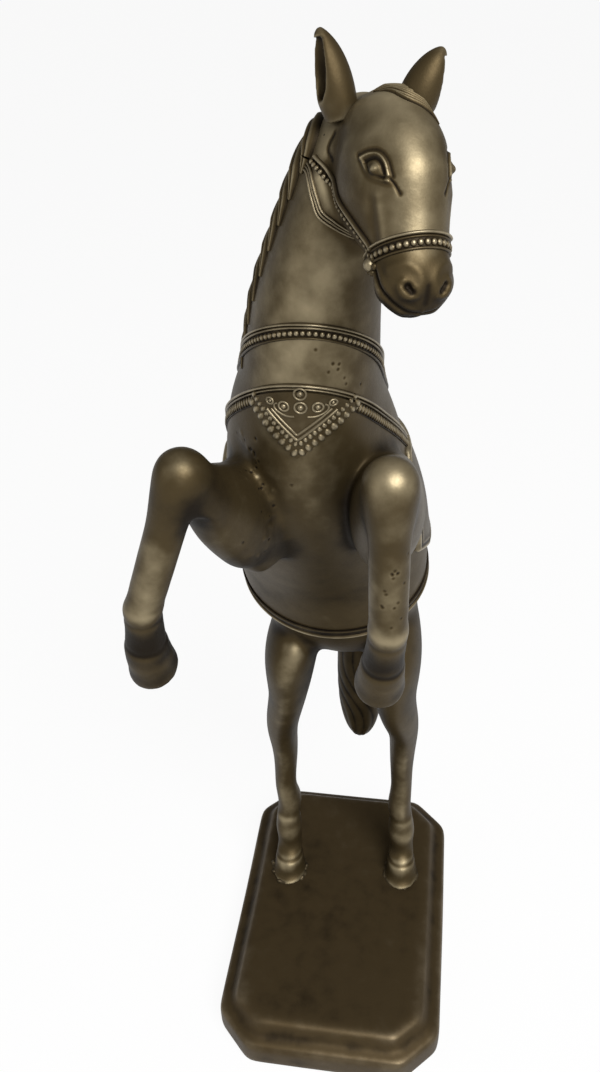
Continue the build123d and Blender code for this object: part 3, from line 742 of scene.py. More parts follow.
# More painted shade on the hooves and pasterns, on the muzzle and on the knees.
painted_shade += 0.55 * near(soles + pasterns, 25) + 0.34 * near(muzzle, 23) + 0.24 * near(knees, 38)
# Wear from ridges, grooves and forms, plus the painted light, minus dirt in narrow cuts and minus the
# painted shade.
skin_wear_and_painted_light = 0.42 + 0.3 * carving_wear + 0.18 * form_wear + 0.3 * painted_light_by_facing
skin_wear_and_painted_light = np.clip(skin_wear_and_painted_light - 0.5 * skin_dirt - painted_shade, 0, 1)
print("mean worn value", round(float(skin_wear_and_painted_light.mean()), 3))

# %% [markdown]
# ## From one skin back to castings
# The finished skin is cut along the castings it came from, so that each piece stands for its own
# solid. The cut pieces keep the normals of the whole skin, and no seam shows in the gloss.

# %% Cut the skin into its castings
def new_piece(name, co, faces, worn, material, normal=None):
    mesh = bpy.data.meshes.new(name)
    mesh.from_pydata(co.tolist(), [], faces)
    mesh.attributes.new("worn", "FLOAT", "POINT").data.foreach_set("value", worn)
    mesh.polygons.foreach_set("use_smooth", np.ones(len(mesh.polygons), dtype=bool))
    if normal is not None:
        mesh.normals_split_custom_set_from_vertices(normal.tolist())
    mesh.materials.append(material)
    piece = bpy.data.objects.new(name, mesh)
    scene.collection.objects.link(piece)
    return piece


def hand_over(piece, slot_name, *replaced):
    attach(piece, "root")
    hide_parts(*replaced)
    print(piece.name, len(piece.data.polygons), "faces")


all_faces = skin_faces()
face_owner = casting_of[[face[0] for face in all_faces]]
for index, name in enumerate(casting_names):
    faces = [face for face, owner in zip(all_faces, face_owner) if owner == index]
    used = np.unique([i for face in faces for i in face])
    place_of = np.full(len(skin_co), -1)
    place_of[used] = np.arange(len(used))
    faces = [[int(place_of[i]) for i in face] for face in faces]
    # Each skin piece carries its wear together with the painted light and painted shade.
    piece = new_piece(name + "_skin", skin_co[used], faces, skin_wear_and_painted_light[used], horse_brass, skin_normal[used])
    hand_over(piece, "horse_brass", name)

# %% [markdown]
# ## Lines on the skin
# Collar, girth, breast band and bridle are straps that were modelled on the horse before it was
# cast. Each strap follows a line on the finished skin: most lie where a flat plane cuts the horse,
# the others run through a few points. A line knows which way is out of the skin and which is up.

# %% Lines for the straps
Line = namedtuple("Line", "at out up closed")


def settled(rows, closed, rounds):
    # Evens out small kinks along a line
    for _ in range(rounds):
        before, after = np.roll(rows, 1, axis=0), np.roll(rows, -1, axis=0)
        if not closed:
            before[0], after[-1] = rows[0], rows[-1]
        rows = (before + 2 * rows + after) / 4
    return rows


def evened(at, out, up_hint, closed, step):
    loop = np.vstack([at, at[:1]]) if closed else at
    loop_out = np.vstack([out, out[:1]]) if closed else out
    run = np.r_[0, np.cumsum(np.linalg.norm(np.diff(loop, axis=0), axis=1))]
    count = max(int(run[-1] / (step * mm)), 4)
    stops = np.linspace(0, run[-1], count, endpoint=not closed)
    at = np.column_stack([np.interp(stops, run, loop[:, k]) for k in range(3)])
    out = np.column_stack([np.interp(stops, run, loop_out[:, k]) for k in range(3)])
    along = np.roll(at, -1, axis=0) - np.roll(at, 1, axis=0) if closed else np.gradient(at, axis=0)
    along = unit(along)
    out = unit(out - along * (out * along).sum(axis=1, keepdims=True))
    up = np.cross(along, out)
    up *= np.sign(up @ np.asarray(up_hint, float))[:, None]
    return Line(at, out, up, closed)


def section(point, normal, ahead, names, span=None, step=0.8):
    # The line where a plane cuts the skin of some castings; the span is in degrees from ahead
    normal = unit(normal)
    level = (skin_co - np.array(point) * mm) @ normal
    allowed = np.isin(casting_of, [casting_names.index(name) for name in names])
    first, second = skin_edges.T
    cut = ((level[first] > 0) != (level[second] > 0)) & allowed[first]
    first, second = first[cut], second[cut]
    share = (level[first] / (level[first] - level[second]))[:, None]
    at = skin_co[first] + (skin_co[second] - skin_co[first]) * share
    out = skin_normal[first] + (skin_normal[second] - skin_normal[first]) * share
    ahead = np.array(ahead, float)
    ahead = unit(ahead - normal * (ahead @ normal))
    offset = at - (at.min(axis=0) + at.max(axis=0)) / 2
    angle = np.degrees(np.arctan2(offset @ np.cross(normal, ahead), offset @ ahead))
    stops = np.arange(-180, 180, 1.5) if span is None else np.arange(span[0], span[1], 1.5)
    at = np.column_stack([np.interp(stops, angle, at[:, k], period=360) for k in range(3)])
    out = np.column_stack([np.interp(stops, angle, out[:, k], period=360) for k in range(3)])
    return evened(settled(at, span is None, 6), settled(out, span is None, 10), normal, span is None, step)


def skin_line(points, up_hint, closed=False, step=0.8, count=80):
    hits = [skin_tree.find_nearest(p) for p in spline(points, count)]
    at = settled(np.array([hit[0] for hit in hits]), closed, 3)
    out = settled(np.array([hit[1] for hit in hits]), closed, 8)
    return evened(at, out, up_hint, closed, step)


def sloped(slope):
    # Normal of a plane whose rear side sinks by the slope
    return (0, math.sin(math.radians(slope)), math.cos(math.radians(slope)))


trunk = ("body", "neck")
collar_line = section((-6, -55, 500.5), sloped(37), (0, -1, 0), trunk)
girth_line = section((0, 6, 285), sloped(-28), (0, -1, 0), ("body", "hind_leg_left", "hind_leg_right"))
noseband_line = section(head_at + nose * 52.2, -nose, face, ("head",))
neck_axis = np.array(((-10.5, -15, 468), (-6.5, -19, 500), (1, -21, 530), (10, -27, 555), (16, -36, 573)))


def other_side(rows):
    # The same points on the left of the neck
    rows = np.array(rows, float)
    middle = np.column_stack([np.interp(rows[:, 2], neck_axis[:, 2], neck_axis[:, k]) for k in range(3)])
    sideways = np.cross(upward, facing)
    return rows - 2 * ((rows - middle) @ sideways)[:, None] * sideways


throat_right = ((0.9, -50.4, 545.5), (-2.5, -47.8, 551.5))
throat_right += ((-5.4, -42.1, 560.5), (-9, -33.1, 562.4))
throat_low, throat_high = [(15, -50.5, 541)], [(5, -9, 567)]
throat_left = other_side(throat_right)[::-1]
throat_points = np.vstack([throat_low, throat_right, throat_high, throat_left, throat_low])
throat_line = skin_line(throat_points * mm, upward, step=0.7, count=160)
chest = ("body", "neck", "foreleg_left", "foreleg_right")
breast_line = section((-8, -58, 475), sloped(40), (0, -1, 0), chest, (-105, 105))
strap_points = ((6, -28.5, 18), (20, -19.5, 18.5), (31, -11.8, 18), (42, -6.2, 15.8), (51.5, -2.0, 14))
strap_lines = [skin_line(on_head(strap_points, side), face) for side in (1, -1)]
print("collar", len(collar_line.at), "steps, girth", len(girth_line.at), "steps")

# %% [markdown]
# ## Straps and bead rows
# A strap is one cross-section swept along its line, with the rims drawn in the section. The beads
# were punched one by one, so a Geometry Nodes tree sets a ball at even steps along a line, turns
# it to the skin and varies its size a little. A second tree makes the raised wires.

# %% Sweep a strap
Shape = namedtuple("Shape", "co faces worn")


def strap_section(width, base, rims):
    # Rows of across and height in mm, with rims given as middle, radius and height
    across = np.linspace(-width / 2, width / 2, int(width * 6) + 1)
    height = np.full(len(across), float(base))
    for middle_at, radius, top in rims:
        height = np.maximum(height, top * np.sqrt(np.clip(1 - ((across - middle_at) / radius) ** 2, 0, 1)))
    sunk = -1.0
    rows = np.column_stack([across, height])
    return np.vstack([(-width / 2, sunk), rows, (width / 2, sunk)])


def swept(line, rows):
    # Points and faces of a section drawn along a line, with caps where the line is open
    count, size = len(line.at), rows.shape[-2]
    sideways = line.up[:, None] * rows[..., :1] * mm
    lifted = line.out[:, None] * rows[..., 1:] * mm
    faces = []
    for i in range(count if line.closed else count - 1):
        j = (i + 1) % count
        for k in range(size):
            m = (k + 1) % size
            faces.append((i * size + k, i * size + m, j * size + m, j * size + k))
    if not line.closed:
        faces.append(tuple(range(size)))
        faces.append(tuple(range((count - 1) * size, count * size)))
    return (line.at[:, None] + sideways + lifted).reshape(-1, 3), faces


def sweep(line, rows):
    # A strap whose rims are rubbed and whose ground is dark
    low, high = rows[1:-1, 1].min(), rows[:, 1].max()
    worn = np.clip(0.25 + 0.6 * (rows[:, 1] - low) / max(high - low, 0.1), 0, 1)
    return Shape(*swept(line, rows), np.tile(worn, len(line.at)))


def stacked(shapes):
    # Several shapes as one list of points and one of faces
    faces, first = [], 0
    for shape in shapes:
        faces += [[int(i) + first for i in face] for face in shape.faces]
        first += len(shape.co)
    return np.vstack([shape.co for shape in shapes]), faces


def assembled(name, shapes, material):
    # Several shapes become one piece with its faces outwards
    piece = new_piece(name, *stacked(shapes), np.concatenate([shape.worn for shape in shapes]), material)
    build = bmesh.new()
    build.from_mesh(piece.data)
    bmesh.ops.recalc_face_normals(build, faces=build.faces)
    build.to_mesh(piece.data)
    build.free()
    piece.data.set_sharp_from_angle(angle=math.radians(55))
    return piece


def harness(name, shapes, node):
    hand_over(assembled(name, shapes, harness_brass), "harness_brass", node)


# %% Geometry Nodes: beads on a line
def line_tree(name, sizes):
    tree = bpy.data.node_groups.new(name, "GeometryNodeTree")
    sockets(tree, "INPUT", "Geometry", "Geometry")
    sockets(tree, "INPUT", "Float", *sizes)
    sockets(tree, "INPUT", "Material", "Material")
    sockets(tree, "OUTPUT", "Geometry", "Geometry")
    given = add_node(tree, "NodeGroupInput").outputs
    curve = add_node(tree, "GeometryNodeMeshToCurve", {"Mesh": given["Geometry"]})
    return tree, given, curve.outputs["Curve"]


def end_tree(tree, given, geometry):
    # Every tree ends in real faces with a material, because the export drops instances
    for kind in ("GeometryNodeRealizeInstances", "GeometryNodeSetShadeSmooth"):
        geometry = add_node(tree, kind, {"Geometry": geometry}).outputs["Geometry"]
    inputs = {"Geometry": geometry, "Material": given["Material"]}
    paint = add_node(tree, "GeometryNodeSetMaterial", inputs)
    add_node(tree, "NodeGroupOutput", {"Geometry": paint.outputs["Geometry"]})


def marked(tree, geometry, worn):
    # The geometry with its worn value stored on the points
    inputs = {"Geometry": geometry, "Name": "worn", "Value": worn}
    kind = "GeometryNodeStoreNamedAttribute"
    return add_node(tree, kind, inputs, data_type="FLOAT", domain="POINT").outputs["Geometry"]


def named_direction(tree, name):
    kind = "GeometryNodeInputNamedAttribute"
    return add_node(tree, kind, {"Name": name}, data_type="FLOAT_VECTOR").outputs["Attribute"]


bead_row, given, curve = line_tree("bead_row", ("Spacing", "Width", "Length", "Height", "Unevenness"))


def bead_node(kind, inputs=None, **settings):
    return add_node(bead_row, kind, inputs, **settings).outputs


spaced = bead_node("GeometryNodeResampleCurve", {"Curve": curve, "Length": given["Spacing"]}, mode="LENGTH")
ball = bead_node("GeometryNodeMeshUVSphere", {"Segments": 10, "Rings": 7, "Radius": 0.5})["Mesh"]
where = bead_node("GeometryNodeInputPosition")["Position"]
level = bead_node("ShaderNodeSeparateXYZ", {"Vector": where})["Z"]
rub_range = {"Value": level, "From Min": 0.0, "From Max": 0.5, "To Min": 0.1, "To Max": 0.9}
bead = marked(bead_row, ball, bead_node("ShaderNodeMapRange", rub_range)["Result"])
facing_out = {"Vector": named_direction(bead_row, "outward")}
turned = bead_node("FunctionNodeAlignRotationToVector", facing_out, axis="Z")["Rotation"]
facing_down = {"Rotation": turned, "Vector": named_direction(bead_row, "down")}
turned = bead_node("FunctionNodeAlignRotationToVector", facing_down, axis="Y", pivot_axis="Z")["Rotation"]
least = bead_node("ShaderNodeMath", {0: 1.0, 1: given["Unevenness"]}, operation="SUBTRACT")[0]
luck = bead_node("FunctionNodeRandomValue", {2: least, 3: 1.0, "Seed": 5}, data_type="FLOAT")[1]
lengths = {"X": given["Width"], "Y": given["Length"], "Z": given["Height"]}
size = bead_node("ShaderNodeCombineXYZ", lengths)["Vector"]
size = bead_node("ShaderNodeVectorMath", {0: size, "Scale": luck}, operation="SCALE")["Vector"]
set_out = {"Points": spaced["Curve"], "Instance": bead, "Rotation": turned, "Scale": size}
end_tree(bead_row, given, bead_node("GeometryNodeInstanceOnPoints", set_out)["Instances"])
print("bead row tree:", len(bead_row.nodes), "nodes")

# %% Geometry Nodes: a raised wire
wire, given, curve = line_tree("raised_wire", ("Radius", "Worn"))
profile = add_node(wire, "GeometryNodeCurvePrimitiveCircle", {"Resolution": 8, "Radius": given["Radius"]})
drawn = {"Curve": curve, "Profile Curve": profile.outputs["Curve"], "Fill Caps": True}
drawn = add_node(wire, "GeometryNodeCurveToMesh", drawn)
end_tree(wire, given, marked(wire, drawn.outputs["Mesh"], given["Worn"]))
print("wire tree:", len(wire.nodes), "nodes")


# %% Run a tree along a line
def along(line, tree, across, lift, values, material=harness_brass):
    # The line is shifted across the strap and lifted off the skin, in mm, and handed to the tree
    co = line.at + line.up * across * mm + line.out * lift * mm
    count = len(co)
    edges = [(i, i + 1) for i in range(count - 1)]
    if line.closed:
        edges.append((count - 1, 0))
    mesh = bpy.data.meshes.new("line")
    mesh.from_pydata(co.tolist(), edges, [])
    for name, rows in (("outward", line.out), ("down", -line.up)):
        mesh.attributes.new(name, "FLOAT_VECTOR", "POINT").data.foreach_set("vector", rows.ravel())
    holder = bpy.data.objects.new("line", mesh)
    scene.collection.objects.link(holder)
    modifier = holder.modifiers.new("row", "NODES")
    modifier.node_group = tree
    values = dict(values, Material=material)
    for item in tree.interface.items_tree:
        if item.in_out == "INPUT" and item.name in values:
            modifier[item.identifier] = values[item.name]
    made = bpy.data.meshes.new_from_object(holder.evaluated_get(bpy.context.evaluated_depsgraph_get()))
    holder.modifiers.remove(modifier)
    bpy.data.objects.remove(holder)
    worn = np.empty(len(made.vertices))
    made.attributes["worn"].data.foreach_get("value", worn)
    return Shape(read_co(made), [p.vertices[:] for p in made.polygons], worn)


def bead_sizes(spacing, width, length, height, unevenness=0.12):
    names = ("Spacing", "Width", "Length", "Height")
    values = {name: value * mm for name, value in zip(names, (spacing, width, length, height))}
    return dict(values, Unevenness=unevenness)


def wire_sizes(radius, worn=0.75):
    return {"Radius": radius * mm, "Worn": worn}


# %% Collar
collar_section = strap_section(7.2, 0.5, ((2.95, 0.75, 1.9), (1.55, 0.75, 1.7), (-3.0, 0.6, 1.2)))
collar_beads = along(collar_line, bead_row, -0.85, 0.5, bead_sizes(2.7, 2.9, 3.0, 2.6))
harness("collar_band", [sweep(collar_line, collar_section), collar_beads], "collar")

# %% Girth
girth_section = strap_section(8.0, 1.0, ((2.9, 1.1, 1.5), (-2.6, 1.4, 2.1)))
harness("girth_band", [sweep(girth_line, girth_section)], "girth")

# %% Noseband
noseband_section = strap_section(6.6, 0.4, ((2.55, 0.75, 1.6), (1.3, 0.5, 0.9), (-2.75, 0.55, 1.1)))
noseband_beads = along(noseband_line, bead_row, -0.75, 0.4, bead_sizes(2.6, 2.8, 3.0, 2.2))
harness("noseband_band", [sweep(noseband_line, noseband_section), noseband_beads], "noseband")

# %% Cheek straps and throat strap
strap_base = strap_section(4.4, 0.35, ((1.35, 0.8, 1.6),))
for line, name in zip(strap_lines, ("cheek_strap_left", "cheek_strap_right")):
    row = along(line, bead_row, -1.0, 0.8, bead_sizes(2.3, 2.3, 2.4, 2.2))
    harness(name + "_band", [sweep(line, strap_base), row], name)
throat_section = strap_section(4.2, 0.1, ((1.4, 0.55, 1.0), (0, 0.55, 0.9), (-1.4, 0.55, 1.0)))
harness("throat_strap_band", [sweep(throat_line, throat_section)], "throat_strap")


# %% Bit knobs
def ball_shape(middle_at, radius, worn=0.7):
    build = bmesh.new()
    bmesh.ops.create_uvsphere(build, u_segments=14, v_segments=9, radius=radius * mm)
    co = np.array([v.co[:] for v in build.verts]) + middle_at
    faces = [[v.index for v in f.verts] for f in build.faces]
    build.free()
    return Shape(co, faces, np.full(len(co), worn))


def bit_knob(side):
    # A middle ball in a ring of six small ones
    middle_at = np.array(skin_tree.find_nearest(on_head([(55, -4, 14)], side)[0])[0])
    shapes = [ball_shape(middle_at + cheek * side * 1.2 * mm, 2.4, 0.8)]
    for k in range(6):
        turn_by = k * math.pi / 3
        spoke = nose * math.cos(turn_by) + face * math.sin(turn_by)
        shapes.append(ball_shape(middle_at + (spoke * 2.9 + cheek * side * 0.5) * mm, 1.35, 0.55))
    return shapes


for side, name in ((1, "bit_knob_left"), (-1, "bit_knob_right")):
    harness(name + "_balls", bit_knob(side), name)

# %% [markdown]
# ## Breast band and pendant
# Two rims run round the chest. On the flanks a fringe of short tongues hangs from them, and in
# front a bib: a triangle with lobes along its edge, a double border and small rosettes. The bib is
# a grid of points shot at the chest from the front, so it lies on the skin like a cloth.

# %% Breast band
bib_left, bib_right = -32.0, 13.0


def stretch(line, wanted):
    # The longest unbroken stretch of a line where the wish holds
    marks = np.flatnonzero(np.diff(np.r_[0, wanted.astype(int), 0]))
    start, stop = max(zip(marks[::2], marks[1::2]), key=lambda pair: pair[1] - pair[0])
    return Line(line.at[start:stop], line.out[start:stop], line.up[start:stop], False)


breast_line = stretch(breast_line, breast_line.at[:, 1] < 22 * mm)
band_x = breast_line.at[:, 0] / mm
breast_section = strap_section(7.6, 0.5, ((3.0, 0.85, 1.9), (1.45, 0.7, 1.6)))
breast_shapes = [sweep(breast_line, breast_section)]
for flank in (band_x < bib_left, band_x > bib_right):
    fringe_line = stretch(breast_line, flank)
    breast_shapes.append(along(fringe_line, bead_row, -1.3, 0.5, bead_sizes(2.6, 2.4, 4.8, 2.2)))
harness("breast_band_strap", breast_shapes, "breast_band")

# %% Bib
bib_middle, bib_half, bib_tip = -9.6, 22.4, -12.0
bib_tip_height, bib_corner_height = 440.5, 461.0
bib_lift, bib_sunk = 1.5, -0.8
front_run = np.argsort(band_x)
band_height = breast_line.at[front_run, 2] / mm
band_x = band_x[front_run]


def on_chest(x, height):
    # Shoots from the front and returns the skin's point and outward direction
    hit = skin_tree.ray_cast(Vector((x * mm, -0.3, height * mm)), Vector((0, 1, 0)))
    return np.array(hit[0]), np.array(hit[1])


def bib_top(x):
    return np.interp(x, band_x, band_height) + 0.4


def bib_edge(x, inset=0.0):
    # Height of the lower edge, or of a line that runs inside it
    run = bib_tip - (bib_middle - bib_half) if x < bib_tip else bib_middle + bib_half - bib_tip
    slope = (bib_corner_height - bib_tip_height) / run
    return bib_tip_height + slope * abs(x - bib_tip) + inset * math.hypot(1, slope)


def chest_line(places, closed=False, step=0.7):
    hits = [on_chest(x, height) for x, height in places]
    at = settled(np.array([hit[0] for hit in hits]), closed, 2)
    out = settled(np.array([hit[1] for hit in hits]), closed, 4)
    return evened(at, out, (0, 0, 1), closed, step)


bib_columns, bib_rows = 71, 33
grid, grid_out = [], []
for x in np.linspace(bib_middle - bib_half, bib_middle + bib_half, bib_columns):
    hits = [on_chest(x, height) for height in np.linspace(bib_top(x), bib_edge(x), bib_rows)]
    grid.append([hit[0] for hit in hits])
    grid_out.append([hit[1] for hit in hits])
grid, grid_out = np.array(grid), unit(np.mean(grid_out, axis=1))[:, None]


def sheet(grid, outward, lift, sunk, worn):
    # A grid of points becomes a closed plate: an upper side, a lower side and walls
    wide, tall = grid.shape[:2]
    number = np.arange(wide * tall).reshape(wide, tall)
    upper = (grid + outward * lift * mm).reshape(-1, 3)
    lower = (grid + outward * sunk * mm).reshape(-1, 3)
    quads = [(number[i, j], number[i + 1, j], number[i + 1, j + 1], number[i, j + 1])
             for i in range(wide - 1) for j in range(tall - 1)]
    faces = quads + [tuple(k + wide * tall for k in reversed(quad)) for quad in quads]
    rim = [*number[:, 0], *number[-1, 1:], *number[-2::-1, -1], *number[0, -2:0:-1]]
    for a, b in zip(rim, rim[1:] + rim[:1]):
        faces.append((b, a, a + wide * tall, b + wide * tall))
    return Shape(np.vstack([upper, lower]), faces, np.full(2 * wide * tall, worn))


bib_shapes = [sheet(grid, grid_out, bib_lift, bib_sunk, 0.48)]
edge_places = [(x, bib_edge(x, 1.6)) for x in np.linspace(bib_left, bib_right, 60)]
bib_shapes.append(along(chest_line(edge_places), bead_row, 0, 0.9, bead_sizes(3.6, 3.9, 5.2, 3.0)))
upper_places = [(x, bib_edge(x, 5.2)) for x in np.linspace(bib_left + 1, bib_right - 1, 60)]
bib_shapes.append(along(chest_line(upper_places), bead_row, 0, 1.1, bead_sizes(2.6, 2.8, 3.6, 2.2)))
for inset, radius in ((7.2, 0.75), (9.2, 0.6)):
    reach = bib_half - inset * 1.05
    places = [(x, bib_edge(x, inset)) for x in np.linspace(bib_middle - reach, bib_middle + reach, 50)]
    bib_shapes.append(along(chest_line(places), wire, 0, 1.6, wire_sizes(radius, 0.7)))


# %% Rosettes and scrolls on the bib
def rosette(x, height, radius):
    ring_places = []
    for k in range(24):
        angle_at = k * math.pi / 12
        ring_places.append((x + radius * math.cos(angle_at), height + radius * math.sin(angle_at)))
    at, out = on_chest(x, height)
    shapes = [along(chest_line(ring_places, True, 0.5), wire, 0, 1.7, wire_sizes(0.5, 0.75))]
    return shapes + [ball_shape(at + out * 1.5 * mm, 0.55 * radius, 0.75)]


rosette_places = ((0, 32.4, 2.6), (0, 26.0, 2.6), (7.0, 26.0, 2.2), (-7.0, 26.0, 2.2))
rosette_places += ((13, 27.2, 1.5), (-13, 27.2, 1.5))
scroll = ((2.5, 21.5), (6.5, 21.6), (10.5, 23.6), (11.2, 26.0), (9.6, 27.0))
for off, rise, radius in rosette_places:
    bib_shapes += rosette(bib_middle + off, bib_tip_height + rise, radius)
for side in (1, -1):
    places = spline([(bib_middle + side * off, bib_tip_height + rise) for off, rise in scroll], 30)
    bib_shapes.append(along(chest_line(places), wire, 0, 1.6, wire_sizes(0.5, 0.7)))
harness("bib", bib_shapes, "breast_pendant")

# %% [markdown]
# ## Saddle and cloth
# Only a corner of the cloth shows from the front. The solids give both their shape. Each is wrapped
# in a fine net, its edges are rounded by relaxing, and a double rim is raised along its border by
# measuring how far each point lies from the outline.

# %% Nets of the harness solids
def solid_net(name, voxel, rounds, grow=0.0):
    co, normal, faces = casting_copy(name)
    mesh = net(name + "_net", co + normal * grow, faces, voxel)
    edges = read_edges(mesh)
    co = relax(read_co(mesh), edges, 0.5, rounds)
    return mesh, co, edges, read_normals(mesh, co)


def net_piece(name, mesh, co, worn, material):
    return new_piece(name, co, [p.vertices[:] for p in mesh.polygons], worn, material)


barrel_middle = np.array((-11, 27, 364)) * mm
barrel_lean = math.radians(23)
along_spine = np.array((0, -math.sin(barrel_lean), math.cos(barrel_lean)))
to_back = np.array((0, math.cos(barrel_lean), math.sin(barrel_lean)))
cloth_outline = ((26, 75), (46, 4), (40, -14), (-16, -20), (-30, -6), (-36, 75))
saddle_outline = ((24, 75), (28, 20), (24, 8), (-16, 8), (-24, 20), (-26, 75))


def outline_gap(co, outline):
    # Distance in mm from the outline, as seen from the side
    flat = np.column_stack([(co - barrel_middle) @ along_spine, (co - barrel_middle) @ to_back]) / mm
    gaps = []
    for start, end in zip(outline, outline[1:]):
        start, run = np.array(start, float), np.array(end, float) - np.array(start, float)
        share = np.clip((flat - start) @ run / (run @ run), 0, 1)[:, None]
        gaps.append(np.linalg.norm(flat - start - run * share, axis=1))
    return np.min(gaps, axis=0)


saddlery = (("saddle_cloth", cloth_outline, 0.8, 4), ("saddle", saddle_outline, 0.9, 14))
for name, outline, voxel, rounds in saddlery:
    mesh, co, edges, normal = solid_net(name, voxel * mm, rounds)
    gap = outline_gap(co, outline)
    offset = co - barrel_middle
    outer = (normal * (offset - np.outer(offset @ along_spine, along_spine))).sum(axis=1) > 0
    lift = 0.7 * np.exp(-((gap - 2.0) / 1.1) ** 2) + 0.4 * np.exp(-((gap - 5.5) / 0.9) ** 2)
    co = co + normal * (lift * outer * mm)[:, None]
    normal = read_normals(mesh, co)
    worn = np.clip(0.4 + 0.5 * worn_of(co, edges, normal, 12, 0.4), 0, 1)
    hand_over(net_piece(name + "_cast", mesh, co, worn, harness_brass), "harness_brass", name)

# %% [markdown]
# ## Mane and forelock
# The mane is a row of flat locks that lie over the crest towards the right side and overlap like
# tiles. A lock is a leaf-shaped section swept along a short line on the neck, with grooves for the
# strands. The forelock is a sheaf of thinner locks combed over the brow to the left ear.

# %% A lock of hair
lock_root = -1.5


def lock(line, half_widths, height, strands):
    # Half widths are given at even steps along the lock, in mm
    count = len(line.at)
    half = np.interp(np.linspace(0, 1, count), np.linspace(0, 1, len(half_widths)), half_widths)
    around = np.linspace(-1, 1, 8 * strands + 1)
    groove = 0.16 * np.cos(2 * math.pi * strands * (around + 1) / 2)
    crown = np.sqrt(1 - 0.98 * around ** 2) - groove
    rows = np.empty((count, len(around) + 2, 2))
    for i, reach in enumerate(half):
        top = height * min(1.0, reach / max(half_widths) + 0.25)
        rows[i, 1:-1] = np.column_stack([around * reach, top * crown])
        rows[i, 0] = (-reach, lock_root)
        rows[i, -1] = (reach, lock_root)
    ridge = np.r_[0, 0.5 - 1.8 * groove, 0]
    return Shape(*swept(line, rows), np.tile(np.clip(ridge, 0, 1), count))


crest_side, lock_side = np.array((-0.75, 0.66, 0)), np.array((-0.9, -0.44, 0))


def on_neck(height, side):
    # Shoots at the neck's middle from one side
    centre = [np.interp(height, neck_axis[:, 2], neck_axis[:, k]) for k in range(3)]
    start = np.array(centre) * mm + unit(side) * 0.08
    hit = skin_tree.ray_cast(Vector(start), Vector(-unit(side)))
    return np.array(hit[0])


lock_count, lock_top, lock_pitch, lock_drop = 9, 570, 11.0, 17.0
lock_widths = (3.0, 6.6, 6.4, 3.6, 0.5)
lock_stops = ((0, 0.35), (0.4, -0.05), (0.75, -0.45), (1.0, -1.0))
mane_shapes = []
for k in range(lock_count):
    height = lock_top - lock_pitch * k
    fade = 1.0 if k < 6 else 0.75
    points = []
    for share, fall in lock_stops:
        side = crest_side * (1 - share) + lock_side * share * fade
        points.append(on_neck(height + fall * lock_drop + 5, side))
    line = skin_line(points, upward, step=0.7, count=30)
    mane_shapes.append(lock(line, lock_widths, 3.4 - 0.2 * k, 3))
hand_over(assembled("mane_locks", mane_shapes, horse_brass), "horse_brass", "mane")

# %% Forelock
strand_sets = 8
forelock_shapes = []
for k in range(strand_sets):
    start = (-10 + 1.5 * k, 4, -9 + 0.6 * k + 1.6 * (k % 2))
    end = (-1 + 1.8 * k, 12, 9 + 0.3 * k)
    line = skin_line(on_head((start, (-6 + 1.7 * k, 9, 0.5), end)), nose, step=0.6, count=40)
    forelock_shapes.append(lock(line, (0.1, 0.7, 0.9, 0.8, 0.1), 1.7 - 0.1 * k, 1))
hand_over(assembled("forelock_locks", forelock_shapes, horse_brass), "horse_brass", "forelock")

# %% [markdown]
# ## Ears, plinth and braze
# Ears and plinth keep the forms of their solids, with the ears grown by a hair. A fine net, relaxed,
# gives the ears their soft rims and the plinth its worn edges. Round each hind hoof, drops of braze
# take the place of the solid ring and are melted together by the same wrap.

# %% Ears
for name in ("ear_left", "ear_right"):
    mesh, co, edges, normal = solid_net(name, 0.4 * mm, 16, 0.45 * mm)
    worn = np.clip(0.42 + 0.45 * worn_of(co, edges, normal, 40, 0.7), 0, 1)
    hand_over(net_piece(name + "_leaf", mesh, co, worn, horse_brass), "horse_brass", name)

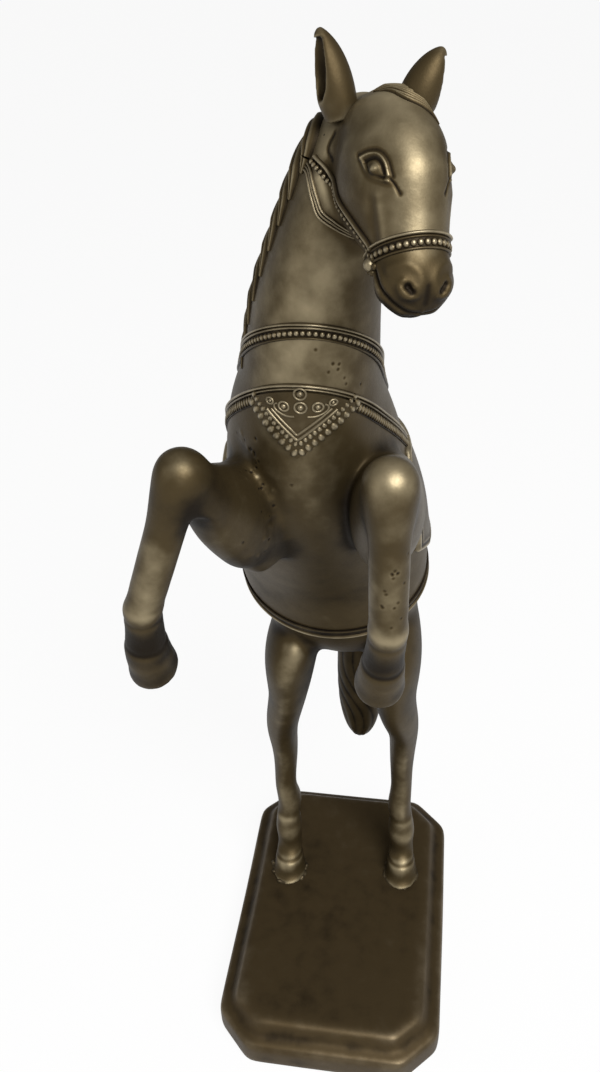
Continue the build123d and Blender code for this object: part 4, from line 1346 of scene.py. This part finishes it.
# %% Plinth
mesh, co, edges, normal = solid_net("plinth", 1.4 * mm, 26)
wave = np.sin(co[:, 0] * 61 + 2) * np.sin(co[:, 1] * 47 + 1) + np.sin(co[:, 0] * 23 + co[:, 1] * 31)
co = co + normal * (0.18 * mm * wave * (co[:, 2] > 3 * mm))[:, None]
normal = read_normals(mesh, co)
worn = np.clip(0.45 + 0.3 * worn_of(co, edges, normal, 30, 1.2), 0, 1)
hand_over(net_piece("plinth_cast", mesh, co, worn, plinth_brass), "plinth_brass", "plinth")

# %% Braze round the hind hooves
plinth_top, sole_half, braze_width = 32.0, (11.8, 13.5), 2.4
low_drops, high_drops = 40, 9


def braze_ring(name, toe):
    drops = []
    for k in range(low_drops + high_drops):
        low = k < low_drops
        angle_at = 2 * math.pi * (k + chance.uniform(-0.4, 0.4)) / (low_drops if low else high_drops)
        spread_by = chance.uniform(-0.7, 0.3 if low else 0.8) * braze_width
        x = toe[0] + (sole_half[0] + spread_by) * math.cos(angle_at)
        y = toe[1] + (sole_half[1] + spread_by) * math.sin(angle_at)
        drop_at = np.array((x, y, plinth_top + (chance.uniform(-1.4, -0.2) if low else 0.8))) * mm
        drops.append(ball_shape(drop_at, chance.uniform(1.8, 2.8) if low else chance.uniform(1.2, 1.9)))
    mesh = net(name + "_net", *stacked(drops), 0.55 * mm)
    edges = read_edges(mesh)
    co = relax(read_co(mesh), edges, 0.5, 9)
    normal = read_normals(mesh, co)
    worn = np.clip(0.36 + 0.3 * worn_of(co, edges, normal, 12, 0.6), 0, 1)
    return net_piece(name + "_drops", mesh, co, worn, braze)


for name, toe in (("hoof_braze_right", hind_toes[0]), ("hoof_braze_left", hind_toes[1])):
    hand_over(braze_ring(name, toe), "braze", name)

# %% [markdown]
# ## Sizes
# The box of the solids and the box of the dressed statue are printed side by side. Dressing
# must not change the object's size.

# %% Finish
boxes = {"cad": cad_box, "visual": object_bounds()}
boxes = {name: [[float(v) for v in corner] for corner in box] for name, box in boxes.items()}
print(boxes)
